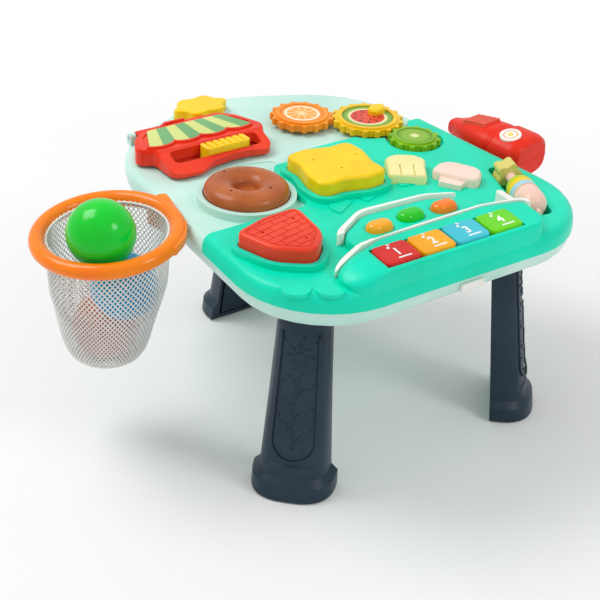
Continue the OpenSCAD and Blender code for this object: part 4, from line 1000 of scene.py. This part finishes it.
# %% Sleeves and wedge of the hinge
PIN_LINE, PIN_HEIGHT, SLEEVE_END = 157.5, 210, 0.5
SLEEVE_RADII = [0.0039, 0.0044, 0.0044, 0.0039]
sleeves = []
for start, end in ((-109.4, -84), (-62, -35.9)):
    stops = (start, start + SLEEVE_END, end - SLEEVE_END, end)
    sleeves.append(sweep([place(x, PIN_LINE, PIN_HEIGHT) for x in stops], SLEEVE_RADII, 24))
piece("hinge_sleeves", joined_up(*sleeves), shop_red, "shop_door")
WEDGE_ENDS = (-83.4, -62.8)
wedge_side = [(149.5, 207.5), (149.5, 220.6), (152.5, 220.4), (161.4, 212.6), (161.6, 207.8)]
wedge_points = [place(x, y, z) for x in WEDGE_ENDS for y, z in wedge_side]
wedge = piece("hinge_wedge", (wedge_points, prism_faces(len(wedge_side))), shop_red,
              "shop_door")
wedge_rim = wedge.modifiers.new("Round rim", "BEVEL")
wedge_rim.width, wedge_rim.segments = 0.0007, 3
print("shop trims done")

# %% [markdown]
# ## Handset and roller lines
# The handset is two shells, so a fine line runs round its middle. Its path is found by
# cutting a copy of the CAD mesh with a level plane, walking along the cut edges, and
# spacing the points evenly. The roller has a thin orange ring between its blue band and
# its dome. Both lines are swept rings.

# %% Outline of a cut
def cut_outline(node, height):
    work = bmesh.new()
    work.from_mesh(nodes[node].data)
    bmesh.ops.remove_doubles(work, verts=work.verts, dist=JOIN)
    whole = work.verts[:] + work.edges[:] + work.faces[:]
    cut = bmesh.ops.bisect_plane(work, geom=whole, dist=1e-6, plane_co=(0, 0, height),
                                 plane_no=(0, 0, 1))["geom_cut"]
    steps = {}
    for edge in (e for e in cut if isinstance(e, bmesh.types.BMEdge)):
        for one, other in (edge.verts, reversed(edge.verts)):
            steps.setdefault(one, []).append(other)
    start = max(steps, key=lambda v: v.co.x)
    path, before, here = [], None, start
    while not path or here is not start:
        path.append(here.co.copy())
        onward = [v for v in steps[here] if v is not before]
        if not onward or len(path) > len(steps):
            break
        before, here = here, onward[0]
    work.free()
    return path


def evened(path, count):
    spans = [(path[(i + 1) % len(path)] - p).length for i, p in enumerate(path)]
    whole, out = sum(spans), []
    for k in range(count):
        left, i = whole * k / count, 0
        while left > spans[i]:
            left -= spans[i]
            i += 1
        out.append(path[i].lerp(path[(i + 1) % len(path)], left / spans[i]))
    return out


SEAM_HEIGHT, SEAM_POINTS = 0.2, 120
seam_path = evened(cut_outline("phone_body", SEAM_HEIGHT), SEAM_POINTS)
print("seam starts at", [round(v, 4) for v in seam_path[0]])

# %% Handset seam and roller line
ROLLER, ROLLER_TURN = (123.5, -102.5, 212), 20.8
LINE_RADIUS, LINE_PLACE = 0.0121, -0.0162
SEAM_WIDTH, LINE_WIDTH = 0.00035, 0.0006  # half widths, as sweep takes them
piece("handset_seam", sweep(seam_path, SEAM_WIDTH, 6, closed=True), finishes["Handset red"],
      "handset")
axis = Vector((*reversed(circle(ROLLER_TURN)), 0))
side, up = Vector((axis.y, -axis.x, 0)), Vector((0, 0, 1))
middle = place(*ROLLER) + axis * LINE_PLACE
ring_path = []
for k in range(64):
    c, s = circle(360 * k / 64, LINE_RADIUS)
    ring_path.append(middle + side * c + up * s)
piece("roller_line", sweep(ring_path, LINE_WIDTH, closed=True, up=axis), finishes["Orange gear"],
      "roller")
print("lines done")

# %% [markdown]
# ## Crosses in the screws
# The screws under the table have cross recesses. Each recess is drawn as two dark bars of
# painted shade, which stand for the shade inside the hollow. The bars are repeated on the
# list of screw places by a tree.

# %% Crosses in the screws
ARM_WIDTH, ARM_THICK, SCREW_FACE = 0.0008, 0.0004, 179.4
# painted shade: the dark colour of the bars stands for the shade inside each cross recess
recess_shade = plastic("Screw recess", (46, 47, 50), (34, 35, 38), rough=0.5)
crosses, given, s_out = start_tree("Crosses", [("Arm length", VALUE, 0.0034)])
both = crosses.nodes.new("GeometryNodeJoinGeometry")
for long_axis, short_axis in ((0, 1), (1, 0)):
    size = add(crosses, "ShaderNodeCombineXYZ", {
        long_axis: given["Arm length"], short_axis: ARM_WIDTH, 2: ARM_THICK})
    arm = add(crosses, "GeometryNodeMeshCube", {"Size": size.outputs[0]})
    crosses.links.new(arm.outputs[0], both.inputs[0])
copies = add(crosses, "GeometryNodeInstanceOnPoints", {
    "Points": given["Geometry"], "Instance": both.outputs[0]})
end_tree(crosses, copies, given, s_out)
OVAL_WIDE, OVAL_DEEP, OVAL_Y, DOOR_SCREW = 104, 122, 12, (-30, 52)
screw_places = [(OVAL_WIDE * c, OVAL_Y + OVAL_DEEP * s) for c, s in (
    circle(a) for a in (20, 60, 120, 160, 200, 250, 290, 340))] + [DOOR_SCREW]
run_tree("screw_crosses", crosses, [place(x, y, SCREW_FACE) for x, y in screw_places], [],
         {"Arm length": 0.0034, "Finish": recess_shade}, "root")

# %% [markdown]
# ## Floor and light
# A product photograph is lit by large soft boxes over a white sweep. The world gives an
# even base, one broad lamp above and behind gives the shadow, and one at the front right
# gives the highlights on the lamps and balls. The floor turns to plain white away from
# the toy, for the camera only, so its white isn't made by more light.

# %% Floor
FLOOR_RADIUS, FLOOR_HEIGHT = 6, -0.0002
FADE_START, FADE_END = 0.25, 0.75
floor_mesh = bpy.data.meshes.new("floor")
floor_points = [(*circle(360 * k / 64, FLOOR_RADIUS), FLOOR_HEIGHT) for k in range(64)]
floor_mesh.from_pydata(floor_points, [], [tuple(range(64))])
floor = bpy.data.objects.new("floor", floor_mesh)
scene.collection.objects.link(floor)
floor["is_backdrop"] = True
paper = bpy.data.materials.new("White sweep")
paper.use_nodes = True
tree = paper.node_tree
shader = fill(tree, tree.nodes["Principled BSDF"], {
    "Base Color": (0.93, 0.93, 0.93, 1), "Roughness": 0.9, "Specular IOR Level": 0.1})
reach = add(tree, "ShaderNodeVectorMath", {0: object_point(tree)}, operation="LENGTH")
far = fade(tree, reach.outputs["Value"], FADE_START, FADE_END, interpolation_type="SMOOTHSTEP")
by_camera = add(tree, "ShaderNodeLightPath").outputs["Is Camera Ray"]
glow = add(tree, "ShaderNodeEmission", {"Strength": 1.0})
blend = add(tree, "ShaderNodeMixShader", {
    0: calc(tree, "MULTIPLY", far, by_camera), 1: shader.outputs[0], 2: glow.outputs[0]})
fill(tree, tree.nodes["Material Output"], {0: blend.outputs[0]})
floor_mesh.materials.append(paper)
print("floor reaches", FLOOR_RADIUS, "m")

# %% World and lamps
EVEN_LIGHT, GLOSSY_SHARE = 0.62, 0.35
world = bpy.data.worlds.new("Studio")
scene.world = world
world.use_nodes = True
tree = world.node_tree
path = add(tree, "ShaderNodeLightPath").outputs
glossy = calc(tree, "MULTIPLY", path["Is Glossy Ray"], GLOSSY_SHARE)
direct = calc(tree, "MAXIMUM", path["Is Camera Ray"], glossy)
strength = calc(tree, "ADD", EVEN_LIGHT, calc(tree, "MULTIPLY", direct, 1 - EVEN_LIGHT))
fill(tree, tree.nodes["Background"], {"Color": (1, 1, 1, 1), "Strength": strength})


def lamp(name, spot, target, size, power):
    light = bpy.data.lights.new(name, "AREA")
    light.shape, light.size, light.energy = "SQUARE", size, power
    made = bpy.data.objects.new(name, light)
    scene.collection.objects.link(made)
    made.location = spot
    made.rotation_euler = (Vector(target) - Vector(spot)).to_track_quat("-Z", "Y").to_euler()


lamp("Top box", (-0.7, 0.7, 1.6), (0, 0, 0.1), 0.9, 15)
lamp("Front box", (0.55, -1.25, 1.3), (0, 0, 0.2), 0.45, 5)

# %% [markdown]
# ## Sizes
# Blender mustn't change the toy's size, so the box of the dressed model is measured.

# %% Sizes
low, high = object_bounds()
